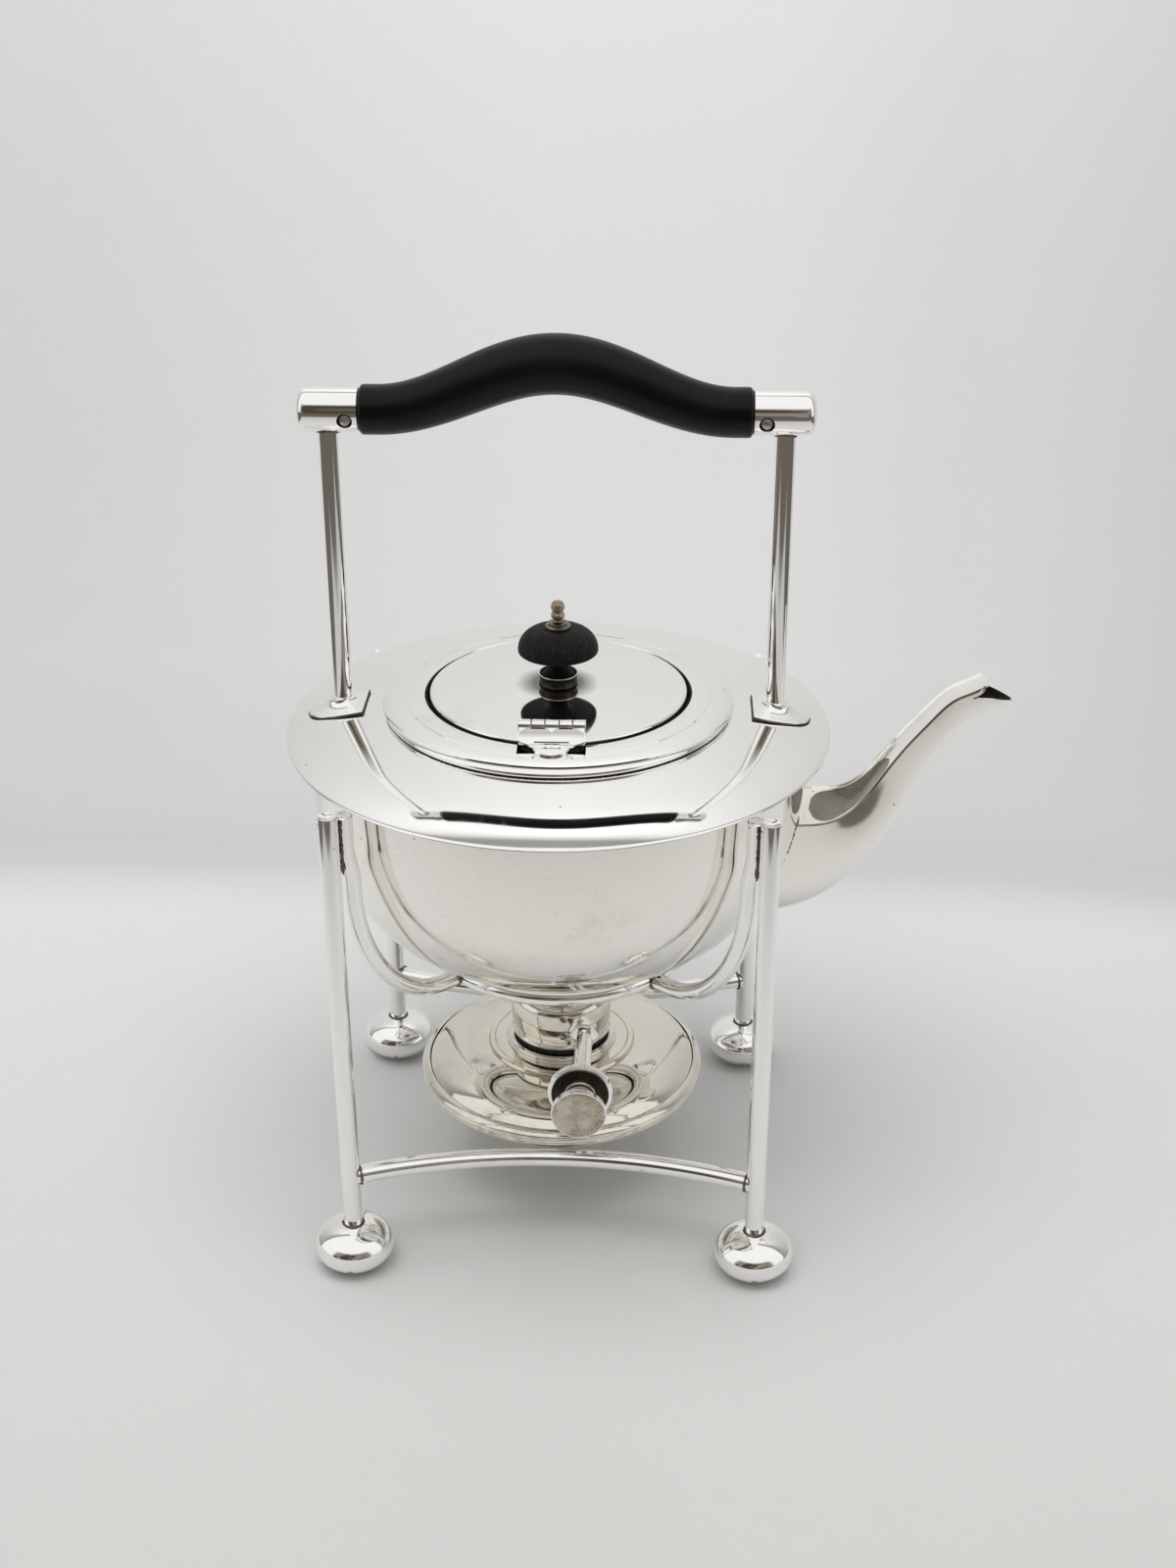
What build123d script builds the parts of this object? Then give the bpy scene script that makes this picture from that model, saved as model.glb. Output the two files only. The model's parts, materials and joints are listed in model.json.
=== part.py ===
from build123d import *
import os
from math import atan, cos, hypot, pi, sin

os.makedirs("parts", exist_ok=True)

# Spirit kettle on a four-legged stand with a spirit burner below.
# Millimetres, +Z up, +X towards the spout, -Y towards the hinge side, z = 0 under the feet.

# ---------------------------------------------------------------- driving dimensions

# The kettle's centre line, placed so that the whole object is centred on x = 0.
axis_x = -29.35

# Stand
leg_x = 67.0
leg_y = 63.65
leg_dia = 6.35
leg_top_z = 169.0
leg_end_z = 10.0
leg_dish_depth = 0.9
foot_radius = 13.2
foot_flat_radius = 3.0
foot_mid_z = 8.1
foot_top_z = 16.0
foot_wall = 1.3
plug_dia = 1.8
bracket_dia = 5.6
bracket_top_z = 168.0
bracket_bite = 0.25
ring_dia = 5.8
ring_radius = 43.2
ring_z = 92.9
stretcher_dia = 6.1
stretcher_z = 35.0
stretcher_mid_y = 51.2

# Kettle bowl and shoulder
bowl_radius = 81.5
bowl_base_radius = 30.0
bowl_base_z = 95.0
bowl_straight_z = 166.0
bowl_top_z = 170.9
sheet = 1.0
rim_radius = 88.6
rim_bead = 0.8
shoulder_slope = 0.171
collar_radius = 57.0
collar_base_z = 177.4
collar_crease_radius = 50.6
collar_crease_z = 182.8
collar_inner_radius = 43.1
collar_inner_z = 183.7
seat_radius = 39.0
notch_width = 21.2
notch_outer_y = 47.5

# Lid and its finial
lid_radius = 41.8
lid_edge_z = 184.5
lid_skirt_z = 180.6
lid_centre_z = 186.0
knob_radius = 13.1
knob_base_z = 187.5
knob_widest_z = 194.0
knob_top_z = 205.3
rod_radius = 1.5
nut_flats = 6.0
nut_height = 2.2

# Lid hinge
hinge_y = -39.8
hinge_z = 189.3
hinge_radius = 1.8
hinge_pin_radius = 0.8
hinge_running_gap = 0.05
knuckle_edges = (-10.5, -6.3, -2.1, 2.3, 6.4, 10.5)
knuckle_gap = 0.1
leaf_thickness = 1.2

# Handle
post_x = 70.3
post_dia = 6.3
post_foot_z = 179.6
plate_collar_radius = 4.1
plate_inner_x = 63.0
plate_outer_x = 82.0
plate_half_width = 9.5
plate_thickness = 1.2
socket_z = 276.6
socket_radius = 6.9
socket_inner_x = 60.2
socket_outer_x = 79.5
tenon_radius = 5.2
tenon_end_x = 74.0
grip_bend_x = 54.7
grip_rise = 14.6
grip_end_radius = 7.7
grip_mid_radius = 9.2
grip_chamfer = 1.5
pin_x = 64.2
pin_z = 274.6
pin_radius = 0.9
pin_recess_radius = 2.4

# Spout: (low x, low z, high x, high z, half width) of each cross-section, from the bowl to the lip.
spout_wall = 1.1
spout_stations = (
    (50.0, 102.0, 58.0, 143.0, 15.0),
    (73.0, 105.4, 74.5, 143.0, 14.8),
    (87.5, 111.2, 84.0, 143.1, 14.3),
    (102.4, 124.8, 92.0, 144.5, 12.0),
    (111.4, 138.3, 99.5, 149.6, 9.2),
    (116.5, 149.4, 106.0, 158.3, 7.6),
    (122.0, 160.1, 113.5, 169.0, 7.0),
    (127.4, 168.6, 120.5, 177.5, 6.6),
    (134.2, 175.6, 128.0, 184.4, 6.1),
    (139.8, 178.9, 134.8, 188.0, 6.2),
    (144.0, 180.6, 141.2, 185.2, 4.3),
    (147.3, 181.8, 147.1, 182.2, 0.5),
)
spout_mouth = (
    (137.6, 179.2, 132.2, 188.6, 4.9),
    (142.6, 181.4, 138.6, 188.8, 3.8),
    (145.9, 182.5, 143.6, 187.2, 1.3),
)
spout_port_z = 124.5
spout_port_width = 17.0
spout_port_height = 25.0

# Burner reservoir
bead_radius = 3.3
bead_centre_radius = 46.3
bead_z = 39.5
pan_radius = 42.5
pan_z = 35.5
dome_radius = 46.6
dome_edge_z = 40.9
tier_radius = 25.3
tier_z = 50.4
neck_radius = 19.3
neck_top_z = 52.6
neck_thread_radius = 13.08
washer_bottom_z = 52.9
washer_top_z = 54.3

# Burner head, wick and winder
barrel_radius = 17.5
barrel_wall = 1.2
barrel_base_z = 54.6
barrel_shoulder_z = 68.0
spigot_radius = 13.0
spigot_end_z = 47.5
wick_tube_radius = 5.5
wick_tube_bore = 4.7
wick_tube_top_z = 79.0
wick_tube_end_z = 46.0
wick_radius = 4.3
wick_top_z = 80.0
wick_end_z = 42.0
spindle_x = 8.7
spindle_z = 62.2
spindle_radius = 1.45
sleeve_radius = 2.9
sleeve_bore = 1.5
sleeve_start = 8.0
sleeve_end = 57.0
boss_radius = 5.0
boss_start = 9.0
boss_end = 19.5
star_radius = 4.0
star_root_radius = 3.0
star_width = 1.6
star_teeth = 12
nut_disc_radius = 10.65
nut_disc_start = 51.0
nut_disc_end = 53.8
nut_hub_radius = 5.3
nut_hub_end = 56.6
winder_radius = 9.0
winder_hub_radius = 4.0
winder_hub_start = 57.6
winder_disc_start = 62.9
winder_face = 66.0

# ---------------------------------------------------------------- shared frames and helpers

kettle_axis = Axis((axis_x, 0, 0), (0, 0, 1))
upright = Plane(origin=(axis_x, 0, 0), x_dir=(1, 0, 0), z_dir=(0, -1, 0))
spindle_axis = Axis((axis_x + spindle_x, 0, spindle_z), (0, -1, 0))
spindle_plane = Plane(origin=(axis_x + spindle_x, 0, spindle_z), x_dir=(0, -1, 0), z_dir=(-1, 0, 0))

corners = {
    "front_left": (-1, -1),
    "front_right": (1, -1),
    "rear_left": (-1, 1),
    "rear_right": (1, 1),
}
sides = {"left": -1, "right": 1}


def save(piece, name):
    """Names a finished piece and writes it as its own file."""
    piece.part.label = name
    export_step(piece.part, f"parts/{name}.step")


def level(z):
    """A level plane at height z, centred on the kettle's centre line."""
    return Plane(origin=(axis_x, 0, z))


def cone_z(radius):
    """Height of the shoulder's upper surface at a radius from the centre line."""
    return collar_base_z + (collar_radius - radius) * shoulder_slope


def turned(outline):
    """A solid turned about the kettle's centre line from a straight-sided outline of (radius, z)."""
    with BuildPart() as piece:
        with BuildSketch(upright):
            with BuildLine():
                Polyline(*outline, close=True)
            make_face()
        revolve(axis=kettle_axis)
    return piece


def leg_cutter(x, y):
    """The cylinder a leg fills, for shaping the ends of what is soldered to it."""
    with BuildPart() as cutter:
        with BuildSketch(Plane(origin=(x, y, leg_end_z))):
            Circle(leg_dia / 2)
        extrude(amount=leg_top_z - leg_end_z)
    return cutter.part


# ---------------------------------------------------------------- stand


def make_leg(name, x, y):
    """A plain rod with a shallow dished top."""
    dish_radius = (leg_dia**2 / 4 + leg_dish_depth**2) / (2 * leg_dish_depth)
    with BuildPart() as leg:
        add(leg_cutter(x, y))
        with BuildSketch(Plane(origin=(x, y, 0), x_dir=(1, 0, 0), z_dir=(0, -1, 0))):
            with Locations((0, leg_top_z + dish_radius - leg_dish_depth)):
                Circle(dish_radius)
        extrude(amount=leg_dia, both=True, mode=Mode.SUBTRACT)
    save(leg, f"leg_{name}")


def plug_plane(x, y):
    """The plane across a foot's vent plug, low on the front and square to the foot's surface."""
    return Plane(origin=(x, y - 11.9, foot_mid_z - 3.6), z_dir=(0, -0.79, -0.61))


def make_foot(name, x, y):
    """A hollow flattened ball with a small flat below, the leg's hole above and a vent hole."""
    inner_radius = foot_radius - foot_wall
    leg_radius = leg_dia / 2
    with BuildPart() as foot:
        with BuildSketch(Plane(origin=(x, y, 0), x_dir=(1, 0, 0), z_dir=(0, -1, 0))):
            with BuildLine():
                Line((0, foot_wall), (0, 0))
                Line((0, 0), (foot_flat_radius, 0))
                Bezier((foot_flat_radius, 0), (9.3, 0.4), (foot_radius, 3.6), (foot_radius, foot_mid_z))
                Bezier((foot_radius, foot_mid_z), (foot_radius, 12.4), (9.0, 15.4), (leg_radius, foot_top_z))
                Line((leg_radius, foot_top_z), (leg_radius, foot_top_z - foot_wall))
                Bezier((leg_radius, foot_top_z - foot_wall), (8.4, 14.1), (inner_radius, 11.8), (inner_radius, 8.0))
                Bezier((inner_radius, 8.0), (inner_radius, 4.4), (8.0, foot_wall), (0, foot_wall))
            make_face()
        revolve(axis=Axis((x, y, 0), (0, 0, 1)))
        with BuildSketch(plug_plane(x, y)):
            Circle(plug_dia / 2)
        extrude(amount=2 * foot_wall, both=True, mode=Mode.SUBTRACT)
    save(foot, f"foot_{name}")


def make_foot_plugs():
    """The four soft-soldered pins that close the vent holes."""
    with BuildPart() as plugs:
        for side_x, side_y in corners.values():
            with BuildSketch(plug_plane(axis_x + side_x * leg_x, side_y * leg_y).offset(-foot_wall)):
                Circle(plug_dia / 2)
        extrude(amount=foot_wall + 0.3)
    save(plugs, "foot_plugs")


def make_support_ring():
    """The round wire ring the kettle's bowl sits in."""
    with BuildPart() as ring:
        with BuildSketch(upright):
            with Locations((ring_radius, ring_z)):
                Circle(ring_dia / 2)
        revolve(axis=kettle_axis)
    save(ring, "support_ring")
    return ring.part


def make_bracket(name, x, y, ring):
    """A bent wire from a leg's inner side down and in to the support ring."""
    reach = hypot(x - axis_x, y)
    way = Vector((x - axis_x) / reach, y / reach, 0)
    outer = reach - leg_dia / 2 - bracket_dia / 2 + bracket_bite

    def at(radius, z):
        return Vector(axis_x, 0, z) + way * radius

    with BuildPart() as bracket:
        with BuildLine() as path:
            Line(at(outer, bracket_top_z), at(outer, 158))
            Bezier(at(outer, 158), at(outer, 150), at(84.7, 150), at(84.7, 142))
            Bezier(at(84.7, 142), at(84.7, 115), at(69.2, ring_z), at(50, ring_z))
            Line(at(50, ring_z), at(ring_radius, ring_z))
        with BuildSketch(Plane(origin=at(outer, bracket_top_z), z_dir=(0, 0, -1))):
            Circle(bracket_dia / 2)
        sweep(path=path.line)
        add(leg_cutter(x, y), mode=Mode.SUBTRACT)
        add(ring, mode=Mode.SUBTRACT)
    save(bracket, f"bracket_{name}")


def make_stretcher(name, side):
    """A rod between two legs, bowed inwards to carry the burner's bead."""
    with BuildPart() as stretcher:
        with BuildLine() as path:
            bow = ThreePointArc(
                (axis_x - leg_x, side * leg_y, stretcher_z),
                (axis_x, side * stretcher_mid_y, stretcher_z),
                (axis_x + leg_x, side * leg_y, stretcher_z),
            )
        with BuildSketch(Plane(origin=bow @ 0, z_dir=bow % 0)):
            Circle(stretcher_dia / 2)
        sweep(path=path.line)
        add(leg_cutter(axis_x - leg_x, side * leg_y), mode=Mode.SUBTRACT)
        add(leg_cutter(axis_x + leg_x, side * leg_y), mode=Mode.SUBTRACT)
    save(stretcher, f"stretcher_{name}")


def make_stand():
    """Four legs on ball feet, two stretchers and the ring on its four brackets."""
    ring = make_support_ring()
    for name, (side_x, side_y) in corners.items():
        x = axis_x + side_x * leg_x
        y = side_y * leg_y
        make_leg(name, x, y)
        make_foot(name, x, y)
        make_bracket(name, x, y, ring)
    make_foot_plugs()
    make_stretcher("front", -1)
    make_stretcher("rear", 1)


# ---------------------------------------------------------------- kettle body


def bowl_curve(inset):
    """The bowl's side from its flat base to its upright wall, moved inwards by inset."""
    radius = bowl_radius - inset
    base_z = bowl_base_z + inset
    return Bezier(
        (bowl_base_radius, base_z),
        (bowl_base_radius + 18 - inset / 2, base_z),
        (radius, base_z + 11.5),
        (radius, bowl_straight_z),
    )


def bowl_outside():
    """The bowl's outer form as a solid block, for trimming the spout's root."""
    with BuildPart() as block:
        with BuildSketch(upright):
            with BuildLine():
                side = bowl_curve(0)
                Polyline(side @ 1, (bowl_radius, bowl_top_z), (0, bowl_top_z), (0, bowl_base_z), side @ 0)
            make_face()
        revolve(axis=kettle_axis)
    return block.part


def make_bowl():
    """The spun bowl, open above and pierced on one side for the spout."""
    with BuildPart() as bowl:
        with BuildSketch(upright):
            with BuildLine():
                outer = bowl_curve(0)
                inner = bowl_curve(sheet)
                Polyline(outer @ 1, (bowl_radius, bowl_top_z), (bowl_radius - sheet, bowl_top_z), inner @ 1)
                Polyline(inner @ 0, (0, bowl_base_z + sheet), (0, bowl_base_z), outer @ 0)
            make_face()
        revolve(axis=kettle_axis)
        with BuildSketch(Plane(origin=(axis_x, 0, spout_port_z), x_dir=(0, 1, 0), z_dir=(1, 0, 0))):
            Ellipse(spout_port_width / 2, spout_port_height / 2)
        extrude(amount=bowl_radius, mode=Mode.SUBTRACT)
    save(bowl, "kettle_bowl")


def make_shoulder():
    """The low conical top with its rounded rim and the flat seat for the lid."""
    seat_z = cone_z(collar_inner_radius)
    rim_centre = rim_radius - rim_bead
    with BuildPart() as shoulder:
        with BuildSketch(upright):
            with BuildLine():
                Polyline(
                    (seat_radius, seat_z - sheet),
                    (collar_inner_radius, seat_z - sheet),
                    (bowl_radius, bowl_top_z),
                    (rim_centre, bowl_top_z),
                    (rim_centre, bowl_top_z + 2 * rim_bead),
                    (rim_centre - 1.2, cone_z(rim_centre - 1.2)),
                    (collar_inner_radius, seat_z),
                    (seat_radius, seat_z),
                    close=True,
                )
            make_face()
            with Locations((rim_centre, bowl_top_z + rim_bead)):
                Circle(rim_bead)
        revolve(axis=kettle_axis)
    save(shoulder, "shoulder")
    return shoulder.part


def make_collar():
    """The moulded ring around the lid, notched at the front for the hinge."""
    with BuildPart() as collar:
        with BuildSketch(upright):
            with BuildLine():
                Line((collar_inner_radius, cone_z(collar_inner_radius)), (collar_radius, collar_base_z))
                Bezier(
                    (collar_radius, collar_base_z),
                    (collar_radius + 1.2, collar_base_z + 2.6),
                    (collar_radius - 2.2, collar_crease_z - 0.6),
                    (collar_crease_radius, collar_crease_z),
                )
                Line(
                    (collar_crease_radius, collar_crease_z),
                    (collar_inner_radius + 0.8, collar_inner_z),
                )
                Bezier(
                    (collar_inner_radius + 0.8, collar_inner_z),
                    (collar_inner_radius, collar_inner_z),
                    (collar_inner_radius, collar_inner_z - 0.8),
                )
                Line(
                    (collar_inner_radius, collar_inner_z - 0.8),
                    (collar_inner_radius, cone_z(collar_inner_radius)),
                )
            make_face()
        revolve(axis=kettle_axis)
        with BuildSketch(level(collar_inner_z + 1)):
            with Locations((0, -notch_outer_y / 2)):
                Rectangle(notch_width, notch_outer_y)
        extrude(amount=-12, mode=Mode.SUBTRACT)
    save(collar, "lid_collar")
    return collar.part


def spout_section(station, wall):
    """One cross-section of the spout: a slightly hollow top edge over a rounded underside."""
    low_x, low_z, high_x, high_z, half_width = station
    depth = hypot(high_x - low_x, high_z - low_z)
    lean_x = (high_x - low_x) / depth
    lean_z = (high_z - low_z) / depth
    plane = Plane(origin=(axis_x + low_x, 0, low_z), x_dir=(0, 1, 0), z_dir=(lean_z, 0, -lean_x))
    width = half_width - wall
    low = wall
    high = depth - wall
    dip = 0.06 * width
    with BuildSketch(plane) as section:
        with BuildLine():
            Bezier((0, low), (0.7 * width, low), (1.08 * width, low + 0.15 * (high - low)), (width, high))
            ThreePointArc((width, high), (0, high - dip), (-width, high))
            Bezier((-width, high), (-1.08 * width, low + 0.15 * (high - low)), (-0.7 * width, low), (0, low))
        make_face()
    return section.sketch


def make_spout():
    """A hollow swan-neck spout lofted through its cross-sections and fitted to the bowl."""
    inside = [spout_section(station, spout_wall) for station in spout_stations[:-4]]
    inside += [spout_section(station, 0) for station in spout_mouth]
    outside = [spout_section(station, 0) for station in spout_stations]
    with BuildPart() as passage:
        loft(sections=inside)
    with BuildPart() as spout:
        loft(sections=outside)
        add(passage.part, mode=Mode.SUBTRACT)
        add(bowl_outside(), mode=Mode.SUBTRACT)
    save(spout, "spout")


# ---------------------------------------------------------------- handle


def make_post_plate(name, side, shoulder):
    """A D-shaped foot plate lying on the shoulder and rising to a small collar under its post."""
    lean = atan(shoulder_slope)
    across = Vector(side * cos(lean), 0, -sin(lean))
    normal = Vector(side * sin(lean), 0, cos(lean))
    base = Vector(axis_x + side * post_x, 0, cone_z(post_x))

    def outline(scale, height):
        inner = (plate_inner_x - post_x) * scale
        outer = (plate_outer_x - post_x) * scale
        half = plate_half_width * scale
        with BuildSketch(Plane(origin=base + normal * height, x_dir=across, z_dir=normal)) as sketch:
            with BuildLine():
                Line((inner, half), (inner, -half))
                Bezier((inner, -half), (0.3 * outer, -1.25 * half), (outer, -0.85 * half), (outer, 0))
                Bezier((outer, 0), (outer, 0.85 * half), (0.3 * outer, 1.25 * half), (inner, half))
            make_face()
        return sketch.sketch

    rising = ((0.93, plate_thickness), (0.62, plate_thickness + 1.0), (0.40, plate_thickness + 2.6))
    with BuildPart() as plate:
        extrude(outline(1.0, -0.3), amount=plate_thickness + 0.3)
        loft(sections=[outline(scale, height) for scale, height in rising])
        with BuildSketch(Plane(origin=(axis_x + side * post_x, 0, post_foot_z))):
            Circle(plate_collar_radius)
        extrude(amount=-1.6)
        add(shoulder, mode=Mode.SUBTRACT)
    save(plate, f"post_plate_{name}")


def socket_line(side):
    """The level line along a handle socket, and the plane its outline is drawn on."""
    line = Axis((axis_x, 0, socket_z), (side, 0, 0))
    plane = Plane(origin=(axis_x, 0, socket_z), x_dir=(side, 0, 0), z_dir=(0, -side, 0))
    return line, plane


def socket_blank(side):
    """The socket's outer form without its bore."""
    line, plane = socket_line(side)
    with BuildPart() as blank:
        with BuildSketch(plane):
            with BuildLine():
                Polyline(
                    (socket_outer_x, 0),
                    (socket_inner_x, 0),
                    (socket_inner_x, socket_radius),
                    (socket_outer_x - 3.2, socket_radius),
                )
                Bezier(
                    (socket_outer_x - 3.2, socket_radius),
                    (socket_outer_x - 0.6, socket_radius),
                    (socket_outer_x, 0.6 * socket_radius),
                    (socket_outer_x, 0),
                )
            make_face()
        revolve(axis=line)
    return blank.part


def make_socket(name, side):
    """A closed cup that takes the grip's tenon, with a recess for the cross pin."""
    line, plane = socket_line(side)
    with BuildPart() as socket:
        add(socket_blank(side))
        with BuildSketch(plane):
            with BuildLine():
                Polyline(
                    (socket_inner_x, 0),
                    (tenon_end_x, 0),
                    (tenon_end_x, tenon_radius),
                    (socket_inner_x, tenon_radius),
                    close=True,
                )
            make_face()
        revolve(axis=line, mode=Mode.SUBTRACT)
        with BuildSketch(Plane(origin=(axis_x + side * pin_x, 0, pin_z), z_dir=(0, -1, 0))):
            Circle(pin_recess_radius)
        extrude(amount=socket_radius + 1, mode=Mode.SUBTRACT)
        with BuildSketch(Plane(origin=(axis_x + side * pin_x, 0, pin_z), z_dir=(0, 1, 0))):
            Circle(pin_radius)
        extrude(amount=socket_radius + 1, mode=Mode.SUBTRACT)
    save(socket, f"handle_socket_{name}")


def make_post(name, side):
    """An upright rod, saddled at the top to the underside of its socket."""
    with BuildPart() as post:
        with BuildSketch(Plane(origin=(axis_x + side * post_x, 0, post_foot_z))):
            Circle(post_dia / 2)
        extrude(amount=socket_z - socket_radius + 3 - post_foot_z)
        add(socket_blank(side), mode=Mode.SUBTRACT)
    save(post, f"handle_post_{name}")


def pin_cutter(side, radius):
    """A cross pin through one end of the grip, from the recess in front to the back of the socket."""
    with BuildPart() as pin:
        with BuildSketch(Plane(origin=(axis_x + side * pin_x, -6.1, pin_z), z_dir=(0, 1, 0))):
            Circle(radius)
        extrude(amount=12.4)
    return pin.part


def make_grip():
    """A turned and bent grip, thickest in the middle, with a tenon at each end."""
    steps = 8
    with BuildPart() as grip:
        for step in range(-steps, steps + 1):
            share = step / steps
            swell = (1 + cos(pi * share)) / 2
            slope = atan(-grip_rise * pi * sin(pi * share) / (2 * grip_bend_x))
            centre = (axis_x + share * grip_bend_x, 0, socket_z + grip_rise * swell)
            with BuildSketch(Plane(origin=centre, x_dir=(0, 1, 0), z_dir=(cos(slope), 0, sin(slope)))):
                Circle(grip_end_radius + (grip_mid_radius - grip_end_radius) * swell)
        loft()
        for side in sides.values():
            line, plane = socket_line(side)
            with BuildSketch(plane):
                with BuildLine():
                    Polyline(
                        (grip_bend_x, 0),
                        (tenon_end_x - 0.3, 0),
                        (tenon_end_x - 0.3, tenon_radius),
                        (socket_inner_x, tenon_radius),
                        (socket_inner_x, grip_end_radius - grip_chamfer),
                        (socket_inner_x - grip_chamfer, grip_end_radius),
                        (grip_bend_x, grip_end_radius),
                        close=True,
                    )
                make_face()
            revolve(axis=line)
            add(pin_cutter(side, pin_radius), mode=Mode.SUBTRACT)
    save(grip, "handle_grip")


def make_socket_pins():
    """The two cross pins that hold the grip."""
    with BuildPart() as pins:
        for side in sides.values():
            add(pin_cutter(side, pin_radius))
    save(pins, "socket_pins")


def make_handle(shoulder):
    """Two posts on foot plates, two sockets and the grip pinned between them."""
    for name, side in sides.items():
        make_post_plate(name, side, shoulder)
        make_post(name, side)
        make_socket(name, side)
    make_grip()
    make_socket_pins()


# ---------------------------------------------------------------- lid and hinge


def make_lid_disc():
    """A low domed disc with a turned-down edge and a hole for the finial's rod."""
    with BuildPart() as disc:
        with BuildSketch(upright):
            with BuildLine():
                Line((rod_radius, lid_centre_z), (6.3, lid_centre_z))
                Bezier(
                    (6.3, lid_centre_z),
                    (20, lid_centre_z - 0.2),
                    (32, lid_edge_z + 0.4),
                    (lid_radius - 1, lid_edge_z),
                )
                Bezier(
                    (lid_radius - 1, lid_edge_z),
                    (lid_radius, lid_edge_z),
                    (lid_radius, lid_edge_z - 1),
                )
                Polyline(
                    (lid_radius, lid_edge_z - 1),
                    (lid_radius, lid_skirt_z),
                    (lid_radius - sheet, lid_skirt_z),
                    (lid_radius - sheet, lid_edge_z - 1.5),
                    (lid_radius - 2, lid_edge_z - 1),
                    (20, lid_centre_z - sheet - 0.5),
                    (6.3, lid_centre_z - sheet),
                    (rod_radius, lid_centre_z - sheet),
                    (rod_radius, lid_centre_z),
                )
            make_face()
        revolve(axis=kettle_axis)
    save(disc, "lid_disc")
    return disc.part


def make_ferrule():
    """A small turned cup between the lid and the knob's stem."""
    ferrule = turned(
        (
            (rod_radius, lid_centre_z),
            (5.8, lid_centre_z),
            (5.8, lid_centre_z + 0.5),
            (5.0, lid_centre_z + 0.9),
            (5.3, lid_centre_z + 1.5),
            (6.65, lid_centre_z + 2.4),
            (6.65, lid_centre_z + 2.7),
            (5.9, lid_centre_z + 2.7),
            (4.6, knob_base_z),
            (rod_radius, knob_base_z),
        )
    )
    save(ferrule, "finial_ferrule")


def make_knob():
    """A turned mushroom knob on a short waisted stem."""
    with BuildPart() as knob:
        with BuildSketch(upright):
            with BuildLine():
                Polyline((rod_radius, knob_top_z), (rod_radius, knob_base_z), (4.5, knob_base_z))
                Bezier((4.5, knob_base_z), (3.2, knob_base_z + 1.6), (3.0, knob_base_z + 2.2), (3.1, 190.6))
                Bezier((3.1, 190.6), (3.4, 191.9), (6.5, 192.2), (11.4, 192.2))
                Bezier((11.4, 192.2), (12.8, 192.4), (knob_radius, 193.2), (knob_radius, knob_widest_z))
                Bezier((knob_radius, knob_widest_z), (knob_radius, 200), (9.5, knob_top_z), (4.3, knob_top_z))
                Line((4.3, knob_top_z), (rod_radius, knob_top_z))
            make_face()
        revolve(axis=kettle_axis)
    save(knob, "knob")


def make_finial_screw():
    """The metal button, waist, ring and ball on top, in one piece with the rod through the knob."""
    rod_end_z = lid_centre_z - sheet - nut_height - 0.8
    with BuildPart() as finial:
        with BuildSketch(upright):
            with BuildLine():
                Polyline(
                    (0, rod_end_z),
                    (rod_radius, rod_end_z),
                    (rod_radius, knob_top_z),
                    (4.15, knob_top_z),
                    (4.15, 206.2),
                    (3.2, 206.7),
                    (3.2, 207.4),
                )
                Bezier((3.2, 207.4), (1.5, 207.9), (1.2, 209.0), (2.25, 209.9))
                Polyline((2.25, 209.9), (2.25, 210.6), (1.4, 210.9))
                Bezier((1.4, 210.9), (2.6, 211.4), (2.6, 214.2), (1.0, 214.9), (0, 215.0))
                Line((0, 215.0), (0, rod_end_z))
            make_face()
        revolve(axis=kettle_axis)
    save(finial, "finial_screw")


def make_finial_nut():
    """The six-sided nut under the lid."""
    with BuildPart() as nut:
        with BuildSketch(level(lid_centre_z - sheet)):
            RegularPolygon(nut_flats / 2, 6, major_radius=False)
            Circle(rod_radius, mode=Mode.SUBTRACT)
        extrude(amount=-nut_height)
    save(nut, "finial_nut")


def make_knuckles(numbers, bore):
    """The barrel knuckles of one hinge leaf, counted from the left and bored for the pin."""
    with BuildPart() as knuckles:
        for number in numbers:
            start = knuckle_edges[number - 1] + knuckle_gap
            length = knuckle_edges[number] - knuckle_gap - start
            with BuildSketch(Plane(origin=(axis_x + start, hinge_y, hinge_z), z_dir=(1, 0, 0))):
                Circle(hinge_radius)
                Circle(bore, mode=Mode.SUBTRACT)
            extrude(amount=length)
    return knuckles.part


def barrel_zone(numbers, radius):
    """Plain slugs along the barrel, for clearing one leaf of the other leaf's knuckles and pin."""
    with BuildPart() as zone:
        for number in numbers:
            start = knuckle_edges[number - 1] - knuckle_gap
            length = knuckle_edges[number] + knuckle_gap - start
            with BuildSketch(Plane(origin=(axis_x + start, hinge_y, hinge_z), z_dir=(1, 0, 0))):
                Circle(radius)
            extrude(amount=length)
    return zone.part


def bent_plate(points, half_width):
    """A strip of leaf metal bent through (y, z) points, as wide as the hinge."""
    side = Plane(origin=(axis_x - half_width, 0, 0), x_dir=(0, 1, 0), z_dir=(1, 0, 0))
    with BuildPart() as plate:
        with BuildSketch(side):
            with BuildLine():
                Polyline(*points, close=True)
            make_face()
        extrude(amount=2 * half_width)
    return plate.part


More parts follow.
